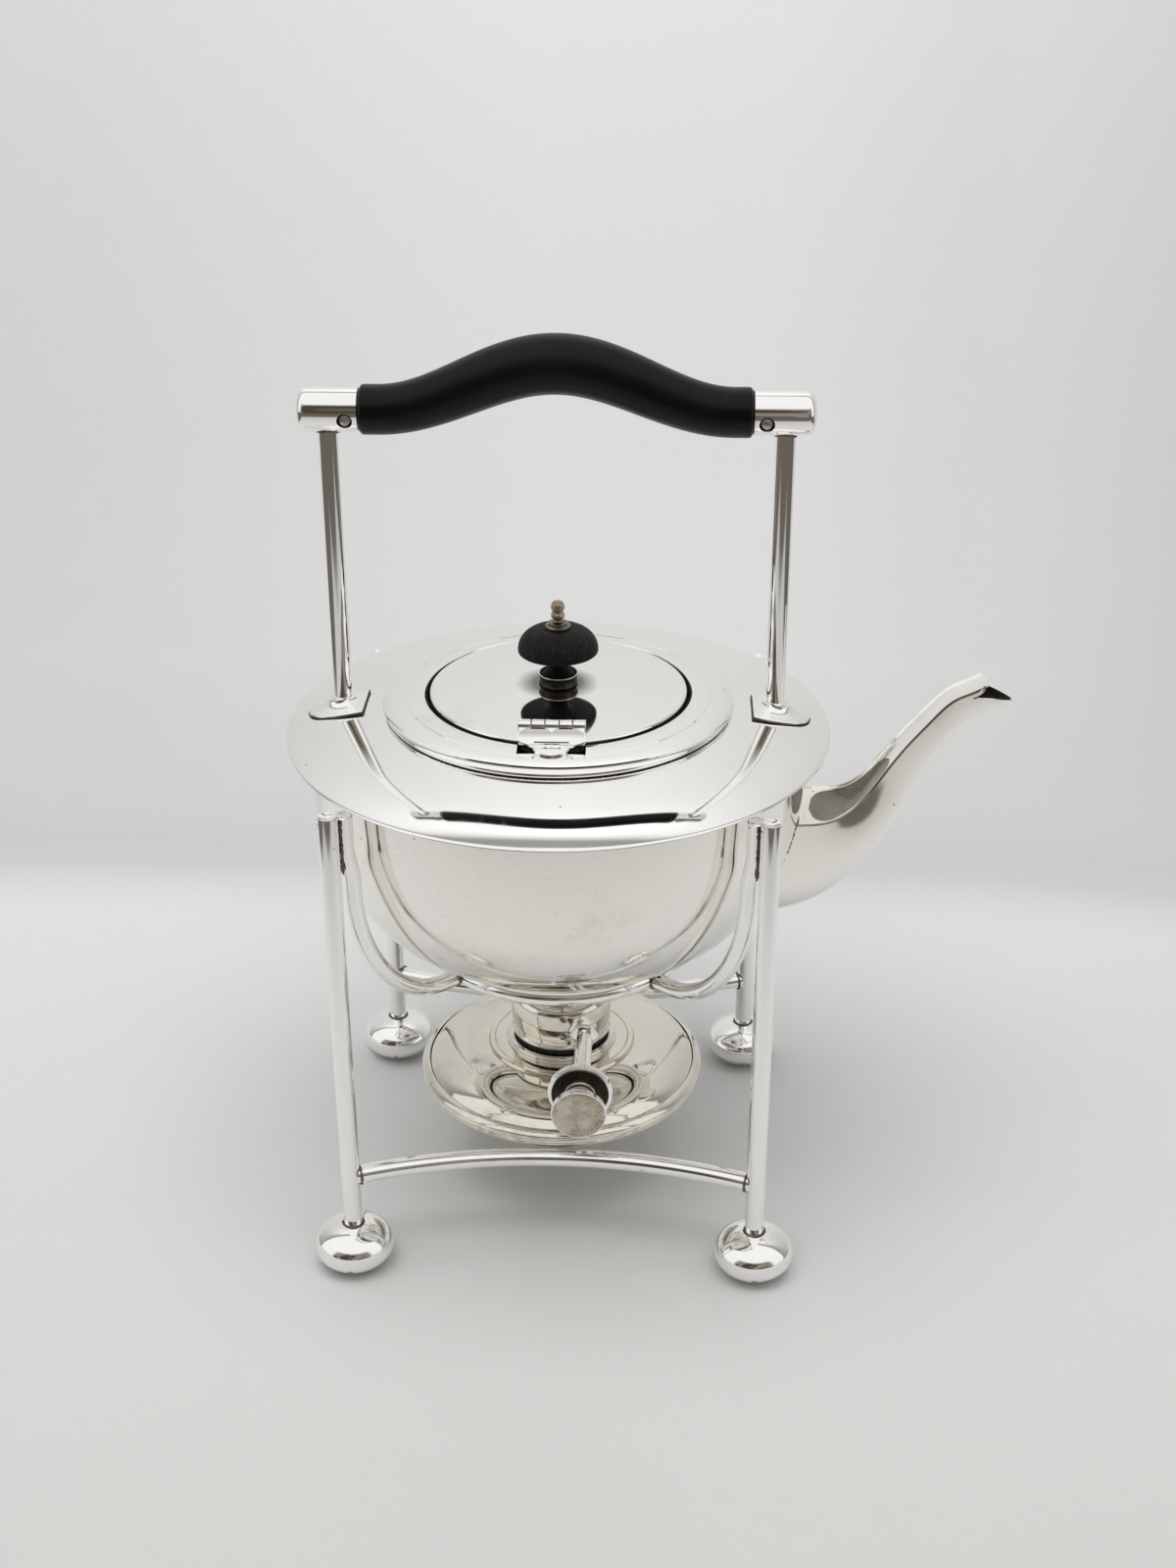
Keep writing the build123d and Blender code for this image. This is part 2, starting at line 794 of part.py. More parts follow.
def make_fixed_leaf(collar):
    """The outer leaf: three knuckles on a plate that narrows to a lobe soldered to the collar."""
    with BuildPart() as leaf:
        add(
            bent_plate(
                (
                    (-40.4, 190.0),
                    (-41.3, 189.3),
                    (-46.3, 184.75),
                    (-50.4, 184.0),
                    (-50.4, 182.7),
                    (-46.6, 183.2),
                    (-41.0, 187.6),
                    (-39.9, 188.0),
                ),
                10.4,
            )
        )
        with BuildSketch(level(180)):
            with BuildLine():
                Polyline((-10.4, -42.6), (-10.4, -39.0), (10.4, -39.0), (10.4, -42.6))
                Bezier((10.4, -42.6), (6.6, -43.2), (5.6, -44.2), (5.4, -45.4))
                Bezier((5.4, -45.4), (5.2, -48.6), (3.2, -50.2), (0, -50.2))
                Bezier((0, -50.2), (-3.2, -50.2), (-5.2, -48.6), (-5.4, -45.4))
                Bezier((-5.4, -45.4), (-5.6, -44.2), (-6.6, -43.2), (-10.4, -42.6))
            make_face()
        extrude(amount=12, mode=Mode.INTERSECT)
        add(barrel_zone((2, 4), hinge_radius + 0.25), mode=Mode.SUBTRACT)
        add(barrel_zone((1, 3, 5), hinge_pin_radius), mode=Mode.SUBTRACT)
        add(make_knuckles((1, 3, 5), hinge_pin_radius))
        add(collar, mode=Mode.SUBTRACT)
    save(leaf, "hinge_leaf_fixed")


def make_lid_leaf(disc):
    """The inner leaf: two knuckles on a short rounded tongue soldered to the lid."""
    with BuildPart() as leaf:
        add(
            bent_plate(
                (
                    (-39.2, 188.2),
                    (-38.6, 187.4),
                    (-36.6, 184.6),
                    (-30.6, 184.9),
                    (-30.6, 186.3),
                    (-35.6, 186.3),
                    (-38.2, 189.8),
                    (-39.2, 190.2),
                ),
                6.3,
            )
        )
        with BuildSketch(level(180)):
            with BuildLine():
                Polyline((6.3, -36.8), (6.3, -40.6), (-6.3, -40.6), (-6.3, -36.8))
                Bezier((-6.3, -36.8), (-6.3, -33.0), (-4.0, -31.0), (0, -31.0))
                Bezier((0, -31.0), (4.0, -31.0), (6.3, -33.0), (6.3, -36.8))
            make_face()
        extrude(amount=12, mode=Mode.INTERSECT)
        add(barrel_zone((1, 3, 5), hinge_radius + 0.25), mode=Mode.SUBTRACT)
        add(barrel_zone((2, 4), hinge_pin_radius + hinge_running_gap), mode=Mode.SUBTRACT)
        add(make_knuckles((2, 4), hinge_pin_radius + hinge_running_gap))
        add(disc, mode=Mode.SUBTRACT)
    save(leaf, "hinge_leaf_lid")


def make_hinge_pin():
    """The pin through all five knuckles."""
    start = knuckle_edges[0]
    with BuildPart() as pin:
        with BuildSketch(Plane(origin=(axis_x + start, hinge_y, hinge_z), z_dir=(1, 0, 0))):
            Circle(hinge_pin_radius)
        extrude(amount=knuckle_edges[-1] - start)
    save(pin, "hinge_pin")


def make_lid(collar):
    """The lid with its knob and finial, and both leaves of its hinge."""
    disc = make_lid_disc()
    make_ferrule()
    make_knob()
    make_finial_screw()
    make_finial_nut()
    make_fixed_leaf(collar)
    make_lid_leaf(disc)
    make_hinge_pin()


# ---------------------------------------------------------------- burner


def make_pan():
    """The reservoir's flat pan with the heavy bead that rests on the stretchers."""
    with BuildPart() as pan:
        with BuildSketch(upright):
            with BuildLine():
                Polyline(
                    (0, pan_z),
                    (pan_radius, pan_z),
                    (bead_centre_radius, bead_z - 2),
                    (bead_centre_radius - 2, bead_z),
                    (pan_radius - 0.4, pan_z + sheet),
                    (0, pan_z + sheet),
                    close=True,
                )
            make_face()
            with Locations((bead_centre_radius, bead_z)):
                Circle(bead_radius)
            with Locations((dome_radius + 0.2 - 10, dome_edge_z + 10)):
                Rectangle(20, 20, mode=Mode.SUBTRACT)
        revolve(axis=kettle_axis)
    save(pan, "reservoir_pan")


def make_dome():
    """The reservoir's low domed top with a raised tier around the neck."""
    edge_top = dome_edge_z + 1.5
    with BuildPart() as dome:
        with BuildSketch(upright):
            with BuildLine():
                Line((dome_radius, dome_edge_z), (dome_radius, edge_top))
                Bezier((dome_radius, edge_top), (44.6, 46.4), (36.5, 48.8), (tier_radius, 49.2))
                Polyline(
                    (tier_radius, 49.2),
                    (tier_radius, tier_z - 0.4),
                    (tier_radius - 0.4, tier_z),
                    (15.2, tier_z),
                    (15.2, tier_z - sheet),
                    (tier_radius - sheet, tier_z - sheet),
                    (tier_radius - sheet, 48.2),
                )
                Bezier((tier_radius - sheet, 48.2), (36, 47.8), (43.8, 45.6), (dome_radius - sheet, edge_top))
                Polyline(
                    (dome_radius - sheet, edge_top),
                    (dome_radius - sheet, dome_edge_z),
                    (dome_radius, dome_edge_z),
                )
            make_face()
        revolve(axis=kettle_axis)
    save(dome, "reservoir_dome")


def make_neck():
    """The bush on the dome that the head screws into, and the loose washer above it."""
    bush = turned(
        (
            (neck_thread_radius, tier_z - 2.6),
            (15.2, tier_z - 2.6),
            (15.2, tier_z),
            (neck_radius, tier_z),
            (neck_radius, neck_top_z),
            (neck_thread_radius, neck_top_z),
        )
    )
    save(bush, "neck_collar")
    washer = turned(
        (
            (spigot_radius + 0.3, washer_bottom_z),
            (barrel_radius - 0.3, washer_bottom_z),
            (barrel_radius - 0.3, washer_top_z),
            (spigot_radius + 0.3, washer_top_z),
        )
    )
    save(washer, "neck_washer")


def make_barrel():
    """The head's hollow barrel with its screwed spigot, domed top and the boss for the winder's sleeve."""
    inner = barrel_radius - barrel_wall
    tube = wick_tube_radius
    with BuildPart() as barrel:
        with BuildSketch(Plane(origin=(axis_x + spindle_x, -boss_start, spindle_z), z_dir=(0, -1, 0))):
            Circle(boss_radius)
        extrude(amount=boss_end - boss_start)
        with BuildSketch(upright):
            with BuildLine():
                Polyline((0, barrel_base_z), (inner, barrel_base_z), (inner, barrel_shoulder_z))
                Polyline((inner, barrel_shoulder_z), (0, barrel_shoulder_z), (0, barrel_base_z))
            make_face()
        revolve(axis=kettle_axis, mode=Mode.SUBTRACT)
        with BuildSketch(upright):
            with BuildLine():
                Polyline(
                    (inner, barrel_shoulder_z),
                    (inner, barrel_base_z + 1.4),
                    (spigot_radius - 1.2, barrel_base_z + 1.4),
                    (spigot_radius - 1.2, spigot_end_z),
                    (spigot_radius, spigot_end_z),
                    (spigot_radius, barrel_base_z),
                    (barrel_radius, barrel_base_z),
                    (barrel_radius, barrel_shoulder_z),
                )
                Bezier((barrel_radius, barrel_shoulder_z), (barrel_radius, 71.0), (12.5, 72.6), (tube + 1.6, 73.0))
                Polyline((tube + 1.6, 73.0), (tube + 1.6, 75.0), (tube, 75.0), (tube, 71.8))
                Bezier((tube, 71.8), (12.0, 71.2), (inner, 70.0), (inner, barrel_shoulder_z))
            make_face()
        revolve(axis=kettle_axis)
        with BuildSketch(Plane(origin=(axis_x + spindle_x, -sleeve_start, spindle_z), z_dir=(0, -1, 0))):
            Circle(sleeve_radius)
        extrude(amount=boss_end, mode=Mode.SUBTRACT)
    save(barrel, "burner_barrel")


def make_wick_tube():
    """The tube that guides the wick, slotted on one side for the star wheel."""
    with BuildPart() as tube:
        with BuildSketch(level(wick_tube_end_z)):
            Circle(wick_tube_radius)
            Circle(wick_tube_bore, mode=Mode.SUBTRACT)
        extrude(amount=wick_tube_top_z - wick_tube_end_z)
        with BuildSketch(Plane(origin=(axis_x, 0, spindle_z), x_dir=(0, 1, 0), z_dir=(1, 0, 0))):
            Rectangle(star_width + 1.0, 2 * star_radius + 1.2)
        extrude(amount=spindle_x, mode=Mode.SUBTRACT)
    save(tube, "wick_tube")


def make_wick():
    """The round woven wick."""
    with BuildPart() as wick:
        with BuildSketch(level(wick_end_z)):
            Circle(wick_radius)
        extrude(amount=wick_top_z - wick_end_z)
    save(wick, "wick")


def make_sleeve():
    """The tube from the barrel to the winder, in which the spindle turns."""
    with BuildPart() as sleeve:
        with BuildSketch(Plane(origin=(axis_x + spindle_x, -sleeve_start, spindle_z), z_dir=(0, -1, 0))):
            Circle(sleeve_radius)
            Circle(sleeve_bore, mode=Mode.SUBTRACT)
        extrude(amount=sleeve_end - sleeve_start)
    save(sleeve, "spindle_sleeve")


def turned_on_spindle(outline):
    """A solid turned about the spindle's line from an outline of (distance forward, radius)."""
    with BuildPart() as piece:
        with BuildSketch(spindle_plane):
            with BuildLine():
                Polyline(*outline, close=True)
            make_face()
        revolve(axis=spindle_axis)
    return piece


def make_winder():
    """Spindle, star wheel and knob, which turn together, and the larger disc nut on the sleeve."""
    spindle = turned_on_spindle(
        (
            (-3.0, 0),
            (-3.0, spindle_radius),
            (winder_face - 1.6, spindle_radius),
            (winder_face - 1.6, 0),
        )
    )
    save(spindle, "spindle")

    with BuildPart() as star:
        with BuildSketch(Plane(origin=(axis_x + spindle_x, star_width / 2, spindle_z), z_dir=(0, -1, 0))):
            Circle(star_root_radius)
            with PolarLocations(star_root_radius, star_teeth):
                with Locations((0.35, 0)):
                    Rectangle(1.3, 0.55)
            Circle(spindle_radius, mode=Mode.SUBTRACT)
        extrude(amount=star_width)
    save(star, "star_wheel")

    knob = turned_on_spindle(
        (
            (winder_hub_start, spindle_radius),
            (winder_hub_start, winder_hub_radius),
            (winder_disc_start, winder_hub_radius),
            (winder_disc_start, winder_radius - 0.3),
            (winder_disc_start + 0.3, winder_radius),
            (winder_face - 0.6, winder_radius),
            (winder_face - 0.2, winder_radius - 0.5),
            (winder_face, winder_radius - 3.0),
            (winder_face, 0),
            (winder_face - 1.6, 0),
            (winder_face - 1.6, spindle_radius),
        )
    )
    save(knob, "winder_knob")

    nut = turned_on_spindle(
        (
            (nut_disc_start, sleeve_radius + 0.05),
            (nut_disc_start, nut_disc_radius - 0.3),
            (nut_disc_start + 0.3, nut_disc_radius),
            (nut_disc_end - 0.3, nut_disc_radius),
            (nut_disc_end, nut_disc_radius - 0.3),
            (nut_disc_end, nut_disc_radius - 0.9),
            (nut_disc_end - 1.4, nut_disc_radius - 1.6),
            (nut_disc_end - 1.6, nut_hub_radius),
            (nut_hub_end, nut_hub_radius),
            (nut_hub_end, sleeve_radius + 0.05),
        )
    )
    save(nut, "sleeve_disc")


def make_burner():
    """Reservoir, screwed head, wick and winder."""
    make_pan()
    make_dome()
    make_neck()
    make_barrel()
    make_wick_tube()
    make_wick()
    make_sleeve()
    make_winder()


make_stand()
make_bowl()
shoulder_part = make_shoulder()
collar_part = make_collar()
make_spout()
make_handle(shoulder_part)
make_lid(collar_part)
make_burner()
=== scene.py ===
"""Spirit kettle on a four-legged stand with its burner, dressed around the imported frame."""

import json
import logging
import math
from collections.abc import Callable, Iterable, Sequence
from dataclasses import dataclass, field
from enum import Enum, IntEnum
from typing import Any

import bmesh
import bpy
from mathutils import Matrix, Vector

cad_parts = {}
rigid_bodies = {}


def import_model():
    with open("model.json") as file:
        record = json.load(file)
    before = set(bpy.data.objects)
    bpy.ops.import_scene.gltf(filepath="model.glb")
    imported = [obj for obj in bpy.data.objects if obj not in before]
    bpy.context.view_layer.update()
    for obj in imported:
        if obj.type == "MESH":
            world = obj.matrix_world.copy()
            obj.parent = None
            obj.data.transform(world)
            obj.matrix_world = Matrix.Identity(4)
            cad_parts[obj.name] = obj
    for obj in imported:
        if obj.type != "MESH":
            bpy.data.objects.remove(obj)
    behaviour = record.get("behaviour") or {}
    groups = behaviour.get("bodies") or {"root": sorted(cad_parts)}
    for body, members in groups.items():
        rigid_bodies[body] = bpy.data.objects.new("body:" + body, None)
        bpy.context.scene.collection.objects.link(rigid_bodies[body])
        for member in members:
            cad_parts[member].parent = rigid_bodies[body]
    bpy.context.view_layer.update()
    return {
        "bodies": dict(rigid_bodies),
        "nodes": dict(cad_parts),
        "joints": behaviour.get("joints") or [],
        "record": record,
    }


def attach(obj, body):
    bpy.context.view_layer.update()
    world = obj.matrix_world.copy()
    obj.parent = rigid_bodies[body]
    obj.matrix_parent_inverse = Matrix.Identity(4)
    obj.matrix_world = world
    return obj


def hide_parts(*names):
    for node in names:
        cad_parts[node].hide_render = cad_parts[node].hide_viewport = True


LOG = logging.getLogger("spirit_kettle")

MM = 0.001
AXIS_X = -29.35
GOLDEN_ANGLE = 2.39996

Pair = tuple[float, float]
Triple = tuple[float, float, float]
Tone = tuple[float, float, float, float]
BMesh = bmesh.types.BMesh
Object = bpy.types.Object
Material = bpy.types.Material


class Finish(Enum):
    """The finishes that pieces are dressed in."""

    POLISHED = "polished_silver"
    SATIN = "worn_silver"
    # Silver with painted shade and reflection of the knob around its centre.
    LID = "silver_with_painted_knob_shade"
    NICKEL = "tarnished_plate"
    SMOKED = "smoked_metal"
    AGED = "browned_brass"
    FACE = "mottled_face"
    OLIVE = "olive_stain"
    # Dull black: painted shade in the winder's dish and under the knob, and the dark joint round the handle's
    # plates.
    BLACK_JOINT_AND_SHADE = "black_joint_and_painted_shade"
    # Matt black laid in gaps and hollows as painted shade.
    PAINTED_SHADE = "painted_shade_black"
    # Warm tarnished silver, its clean tone also darkened as painted shade.
    WARM = "warm_silver_with_painted_shade"
    SOLDER = "dark_solder"
    GRIP = "satin_black_grip"
    EBONY = "dull_ebony"
    BRASS = "turned_brass"
    WICK = "cotton_wick"
    LEATHER = "leather_washer"


class Facets(IntEnum):
    """Faces around turned pieces, by how large they are in view."""

    LARGE = 256
    RING = 192
    DISC = 160
    KNOB = 128
    CUP = 96
    ROD = 64
    BEAD = 48
    PIN = 40


# ---------------------------------------------------------------- outlines and meshes


def place(x: float, y: float, z: float) -> Vector:
    """Gives a point stated in millimetres from the kettle's centre line in the frame's metres."""
    return Vector(((x + AXIS_X) * MM, y * MM, z * MM))


def bezier(
    a: Sequence[float], b: Sequence[float], c: Sequence[float], d: Sequence[float], steps: int = 14
) -> list:
    """Samples a cubic curve.

    Args:
        a, b, c, d: The curve's four control points, of any dimension.
        steps: Number of spans.

    Returns:
        The points from a to d, as tuples.
    """
    points = []
    for index in range(steps + 1):
        t = index / steps
        u = 1 - t
        weights = (u**3, 3 * u * u * t, 3 * u * t * t, t**3)
        points.append(tuple(sum(w * p for w, p in zip(weights, values)) for values in zip(a, b, c, d)))
    return points


def softened(corners: Sequence[Triple], steps: int = 5) -> list[Pair]:
    """Rounds the inner corners of an open outline.

    Args:
        corners: (radius, height, rounding) of each corner.
        steps: Spans in each rounding.

    Returns:
        The (radius, height) points of the rounded outline.
    """
    points: list[Pair] = [corners[0][:2]]
    for before, here, after in zip(corners, corners[1:], corners[2:]):
        corner = Vector(here[:2])
        back, ahead = Vector(before[:2]) - corner, Vector(after[:2]) - corner
        cut = min(here[2], 0.48 * back.length, 0.48 * ahead.length)
        if cut <= 0:
            points.append(tuple(corner))
            continue
        start, end = corner + back.normalized() * cut, corner + ahead.normalized() * cut
        for index in range(steps + 1):
            t = index / steps
            points.append(tuple(start * (1 - t) ** 2 + corner * 2 * t * (1 - t) + end * t * t))
    points.append(corners[-1][:2])
    return points


def turns(count: int) -> list[float]:
    """Gives angles spaced evenly around a full turn."""
    return [math.tau * index / count for index in range(count)]


def bridge(mesh: BMesh, first: Sequence, second: Sequence) -> None:
    """Joins two rings of vertices with faces; a ring of one vertex is a pole."""
    count = max(len(first), len(second))
    for index in range(count):
        ahead = (index + 1) % count
        corners = (
            first[index % len(first)],
            first[ahead % len(first)],
            second[ahead % len(second)],
            second[index % len(second)],
        )
        unique = list(dict.fromkeys(corners))
        if len(unique) > 2:
            mesh.faces.new(unique)


def turned(outline: Sequence[Pair], segments: int = Facets.CUP, closed: bool = False) -> BMesh:
    """Turns an outline about the Z axis.

    Args:
        outline: (radius, height) points in millimetres.
        segments: Number of faces around.
        closed: Whether the last point joins the first, as in a hollow piece.

    Returns:
        The mesh, in metres, about the origin.
    """
    mesh = bmesh.new()
    rings = []
    for radius, height in outline:
        if radius < 1e-4:
            rings.append([mesh.verts.new((0, 0, height * MM))])
            continue
        wide = radius * MM
        rings.append(
            [mesh.verts.new((wide * math.cos(a), wide * math.sin(a), height * MM)) for a in turns(segments)]
        )
    if closed:
        rings.append(rings[0])
    for lower, upper in zip(rings, rings[1:]):
        bridge(mesh, lower, upper)
    return mesh


def lofted(rings: Sequence[Sequence[Vector]], capped: bool = True) -> BMesh:
    """Skins a run of rings that have the same number of points.

    Args:
        rings: Points of each ring, in metres.
        capped: Whether both ends are closed.

    Returns:
        The mesh.
    """
    mesh = bmesh.new()
    made = [[mesh.verts.new(point) for point in ring] for ring in rings]
    for lower, upper in zip(made, made[1:]):
        bridge(mesh, lower, upper)
    if capped:
        mesh.faces.new(made[0])
        mesh.faces.new(made[-1])
    return mesh


def swept(path: Sequence[Vector], radius: float | Callable[[float], float], sides: int = 32) -> BMesh:
    """Runs a round section along a path, turning it as little as possible.

    Args:
        path: Points of the centre line, in metres.
        radius: Section radius in millimetres, or a function of the share of the path passed.
        sides: Faces around the section.

    Returns:
        The closed mesh.
    """
    way = (path[1] - path[0]).normalized()
    across = way.orthogonal().normalized()
    rings = []
    for index, point in enumerate(path):
        before, after = path[max(index - 1, 0)], path[min(index + 1, len(path) - 1)]
        tangent = (after - before).normalized()
        across = (across - tangent * across.dot(tangent)).normalized()
        other = tangent.cross(across)
        size = MM * (radius(index / (len(path) - 1)) if callable(radius) else radius)
        rings.append([point + (across * math.cos(a) + other * math.sin(a)) * size for a in turns(sides)])
    return lofted(rings)


def stood(mesh: BMesh, x: float = 0.0, y: float = 0.0, z: float = 0.0) -> BMesh:
    """Moves a mesh from the origin to a point stated from the kettle's centre line."""
    bmesh.ops.translate(mesh, vec=place(x, y, z), verts=mesh.verts)
    return mesh


def pointed(mesh: BMesh, way: Vector, at: Vector) -> BMesh:
    """Turns a mesh's +Z to a direction and moves its origin to a point, in metres."""
    turn = way.to_track_quat("Z", "Y").to_matrix().to_4x4()
    bmesh.ops.transform(mesh, matrix=Matrix.Translation(at) @ turn, verts=mesh.verts)
    return mesh


def joined(meshes: Iterable[BMesh]) -> BMesh:
    """Puts several meshes into one, which stay separate shells."""
    whole = bmesh.new()
    for mesh in meshes:
        data = bpy.data.meshes.new("part")
        mesh.to_mesh(data)
        mesh.free()
        whole.from_mesh(data)
        bpy.data.meshes.remove(data)
    return whole


# ---------------------------------------------------------------- node trees


@dataclass
class Board:
    """A node tree with short ways to add nodes and wire them."""

    tree: bpy.types.NodeTree

    def add(self, kind: str, inputs: dict[int | str, Any] | None = None, **settings: Any) -> bpy.types.Node:
        """Adds a node.

        Args:
            kind: The node's type name.
            inputs: Values or output sockets for its inputs, by name or number.
            settings: Properties of the node.

        Returns:
            The node.
        """
        node = self.tree.nodes.new(kind)
        for name, value in settings.items():
            setattr(node, name, value)
        for key, value in (inputs or {}).items():
            self.feed(node.inputs[key], value)
        return node

    def feed(self, socket: bpy.types.NodeSocket, value: Any) -> None:
        """Wires an output into a socket, or sets the socket's own value."""
        if isinstance(value, bpy.types.NodeSocket):
            self.tree.links.new(value, socket)
        else:
            socket.default_value = value

    def math(
        self, operation: str, first: Any, second: Any = 0.0, clamp: bool = False
    ) -> bpy.types.NodeSocket:
        """Adds a maths step and gives its result."""
        node = self.add("ShaderNodeMath", {0: first, 1: second}, operation=operation, use_clamp=clamp)
        return node.outputs[0]

    def blend(self, share: Any, first: Any, second: Any) -> bpy.types.NodeSocket:
        """Mixes two colours and gives the result."""
        node = self.add("ShaderNodeMix", data_type="RGBA")
        for socket, value in zip((node.inputs[0], node.inputs[6], node.inputs[7]), (share, first, second)):
            self.feed(socket, value)
        return node.outputs[2]

    def ramp(
        self, value: Any, low: float, high: float, start: float = 0.0, end: float = 1.0
    ) -> bpy.types.NodeSocket:
        """Maps a value from low..high to start..end, held at both ends."""
        node = self.add(
            "ShaderNodeMapRange",
            {"Value": value, "From Min": low, "From Max": high, "To Min": start, "To Max": end},
        )
        return node.outputs["Result"]


def socket_kind(value: Any) -> str:
    """Names the interface socket type that suits a default value."""
    if isinstance(value, bool):
        return "NodeSocketBool"
    if isinstance(value, int):
        return "NodeSocketInt"
    if isinstance(value, float):
        return "NodeSocketFloat"
    return {3: "NodeSocketVector", 4: "NodeSocketColor"}[len(value)]


def shader_group(name: str, inputs: dict[str, Any], outputs: dict[str, str]) -> tuple[Board, Any, Any]:
    """Starts a shader node group.

    Args:
        name: The group's name.
        inputs: Default value of each input.
        outputs: Socket type of each output.

    Returns:
        The board, the group's input node and its output node.
    """
    tree = bpy.data.node_groups.new(name, "ShaderNodeTree")
    for label, value in inputs.items():
        socket = tree.interface.new_socket(label, in_out="INPUT", socket_type=socket_kind(value))
        socket.default_value = value
    for label, kind in outputs.items():
        tree.interface.new_socket(label, in_out="OUTPUT", socket_type=kind)
    board = Board(tree)
    return board, board.add("NodeGroupInput"), board.add("NodeGroupOutput")


@dataclass
class ShaderKit:
    """The node groups that several finishes share."""

    scratches: bpy.types.NodeTree = field(init=False)
    tarnish: bpy.types.NodeTree = field(init=False)
    pits: bpy.types.NodeTree = field(init=False)

    def __post_init__(self) -> None:
        """Builds the groups."""
        self.scratches = self._scratches()
        self.tarnish = self._tarnish()
        self.pits = self._pits()

    def _scratches(self) -> bpy.types.NodeTree:
        """Fine crossed scratches: long thin crests of stretched noise."""
        board, given, out = shader_group(
            "fine_scratches",
            {"Vector": (0.0, 0.0, 0.0), "Scale": 60.0, "Stretch": 0.04, "Amount": 0.5},
            {"Height": "NodeSocketFloat", "Mask": "NodeSocketFloat"},
        )
        total: Any = 0.0
        for number, angle in enumerate((0.35, 1.5, 2.5)):
            size = board.add("ShaderNodeCombineXYZ", {0: 1.0, 1: given.outputs["Stretch"], 2: 1.0})
            turned_to = board.add(
                "ShaderNodeMapping",
                {
                    "Vector": given.outputs["Vector"], "Rotation": (0.4 * number, angle, angle * 1.7),
                    "Scale": size.outputs[0]
                },
            )
            noise = board.add(
                "ShaderNodeTexNoise",
                {
                    "Vector": turned_to.outputs[0], "Scale": given.outputs["Scale"], "Detail": 3.0,
                    "Roughness": 0.6
                },
            )
            line = board.ramp(
                board.math("ABSOLUTE", board.math("SUBTRACT", noise.outputs["Fac"], 0.5)), 0.006, 0.0
            )
            gate = board.add(
                "ShaderNodeTexNoise", {"Vector": given.outputs["Vector"], "Scale": 35.0 + 11.0 * number}
            )
            open_patch = board.ramp(gate.outputs["Fac"], 0.52, 0.62)
            total = board.math("ADD", total, board.math("MULTIPLY", line, open_patch))
        mask = board.math("MULTIPLY", total, given.outputs["Amount"], clamp=True)
        board.feed(out.inputs["Mask"], mask)
        board.feed(out.inputs["Height"], board.math("MULTIPLY", mask, -1.0))
        return board.tree

    def _tarnish(self) -> bpy.types.NodeTree:
        """Soft clouded staining with a finer mottle inside it."""
        board, given, out = shader_group(
            "clouded_tarnish",
            {"Vector": (0.0, 0.0, 0.0), "Scale": 30.0, "Coverage": 0.3},
            {"Mask": "NodeSocketFloat", "Haze": "NodeSocketFloat"},
        )
        broad = board.add(
            "ShaderNodeTexNoise",
            {"Vector": given.outputs["Vector"], "Scale": given.outputs["Scale"], "Detail": 5.0}
        )
        fine = board.add(
            "ShaderNodeTexNoise",
            {
                "Vector": given.outputs["Vector"],
                "Scale": board.math("MULTIPLY", given.outputs["Scale"], 9.0),
                "Detail": 4.0,
            },
        )
        edge = board.math("SUBTRACT", 0.85, given.outputs["Coverage"])
        soft = board.math("DIVIDE", board.math("SUBTRACT", broad.outputs["Fac"], edge), 0.25, clamp=True)
        board.feed(
            out.inputs["Mask"], board.math("MULTIPLY", soft, board.ramp(fine.outputs["Fac"], 0.3, 0.7), True)
        )
        board.feed(out.inputs["Haze"], broad.outputs["Fac"])
        return board.tree

    def _pits(self) -> bpy.types.NodeTree:
        """Sparse small dark pits."""
        board, given, out = shader_group(
            "small_pits",
            {"Vector": (0.0, 0.0, 0.0), "Scale": 160.0, "Size": 0.06},
            {"Mask": "NodeSocketFloat"},
        )
        cells = board.add(
            "ShaderNodeTexVoronoi", {"Vector": given.outputs["Vector"], "Scale": given.outputs["Scale"]}
        )
        rare = board.add("ShaderNodeSeparateColor", {0: cells.outputs["Color"]})
        chosen = board.ramp(rare.outputs[0], 0.88, 0.9)
        dot = board.math("LESS_THAN", cells.outputs["Distance"], given.outputs["Size"])
        board.feed(out.inputs["Mask"], board.math("MULTIPLY", dot, chosen))
        return board.tree


# ---------------------------------------------------------------- finishes



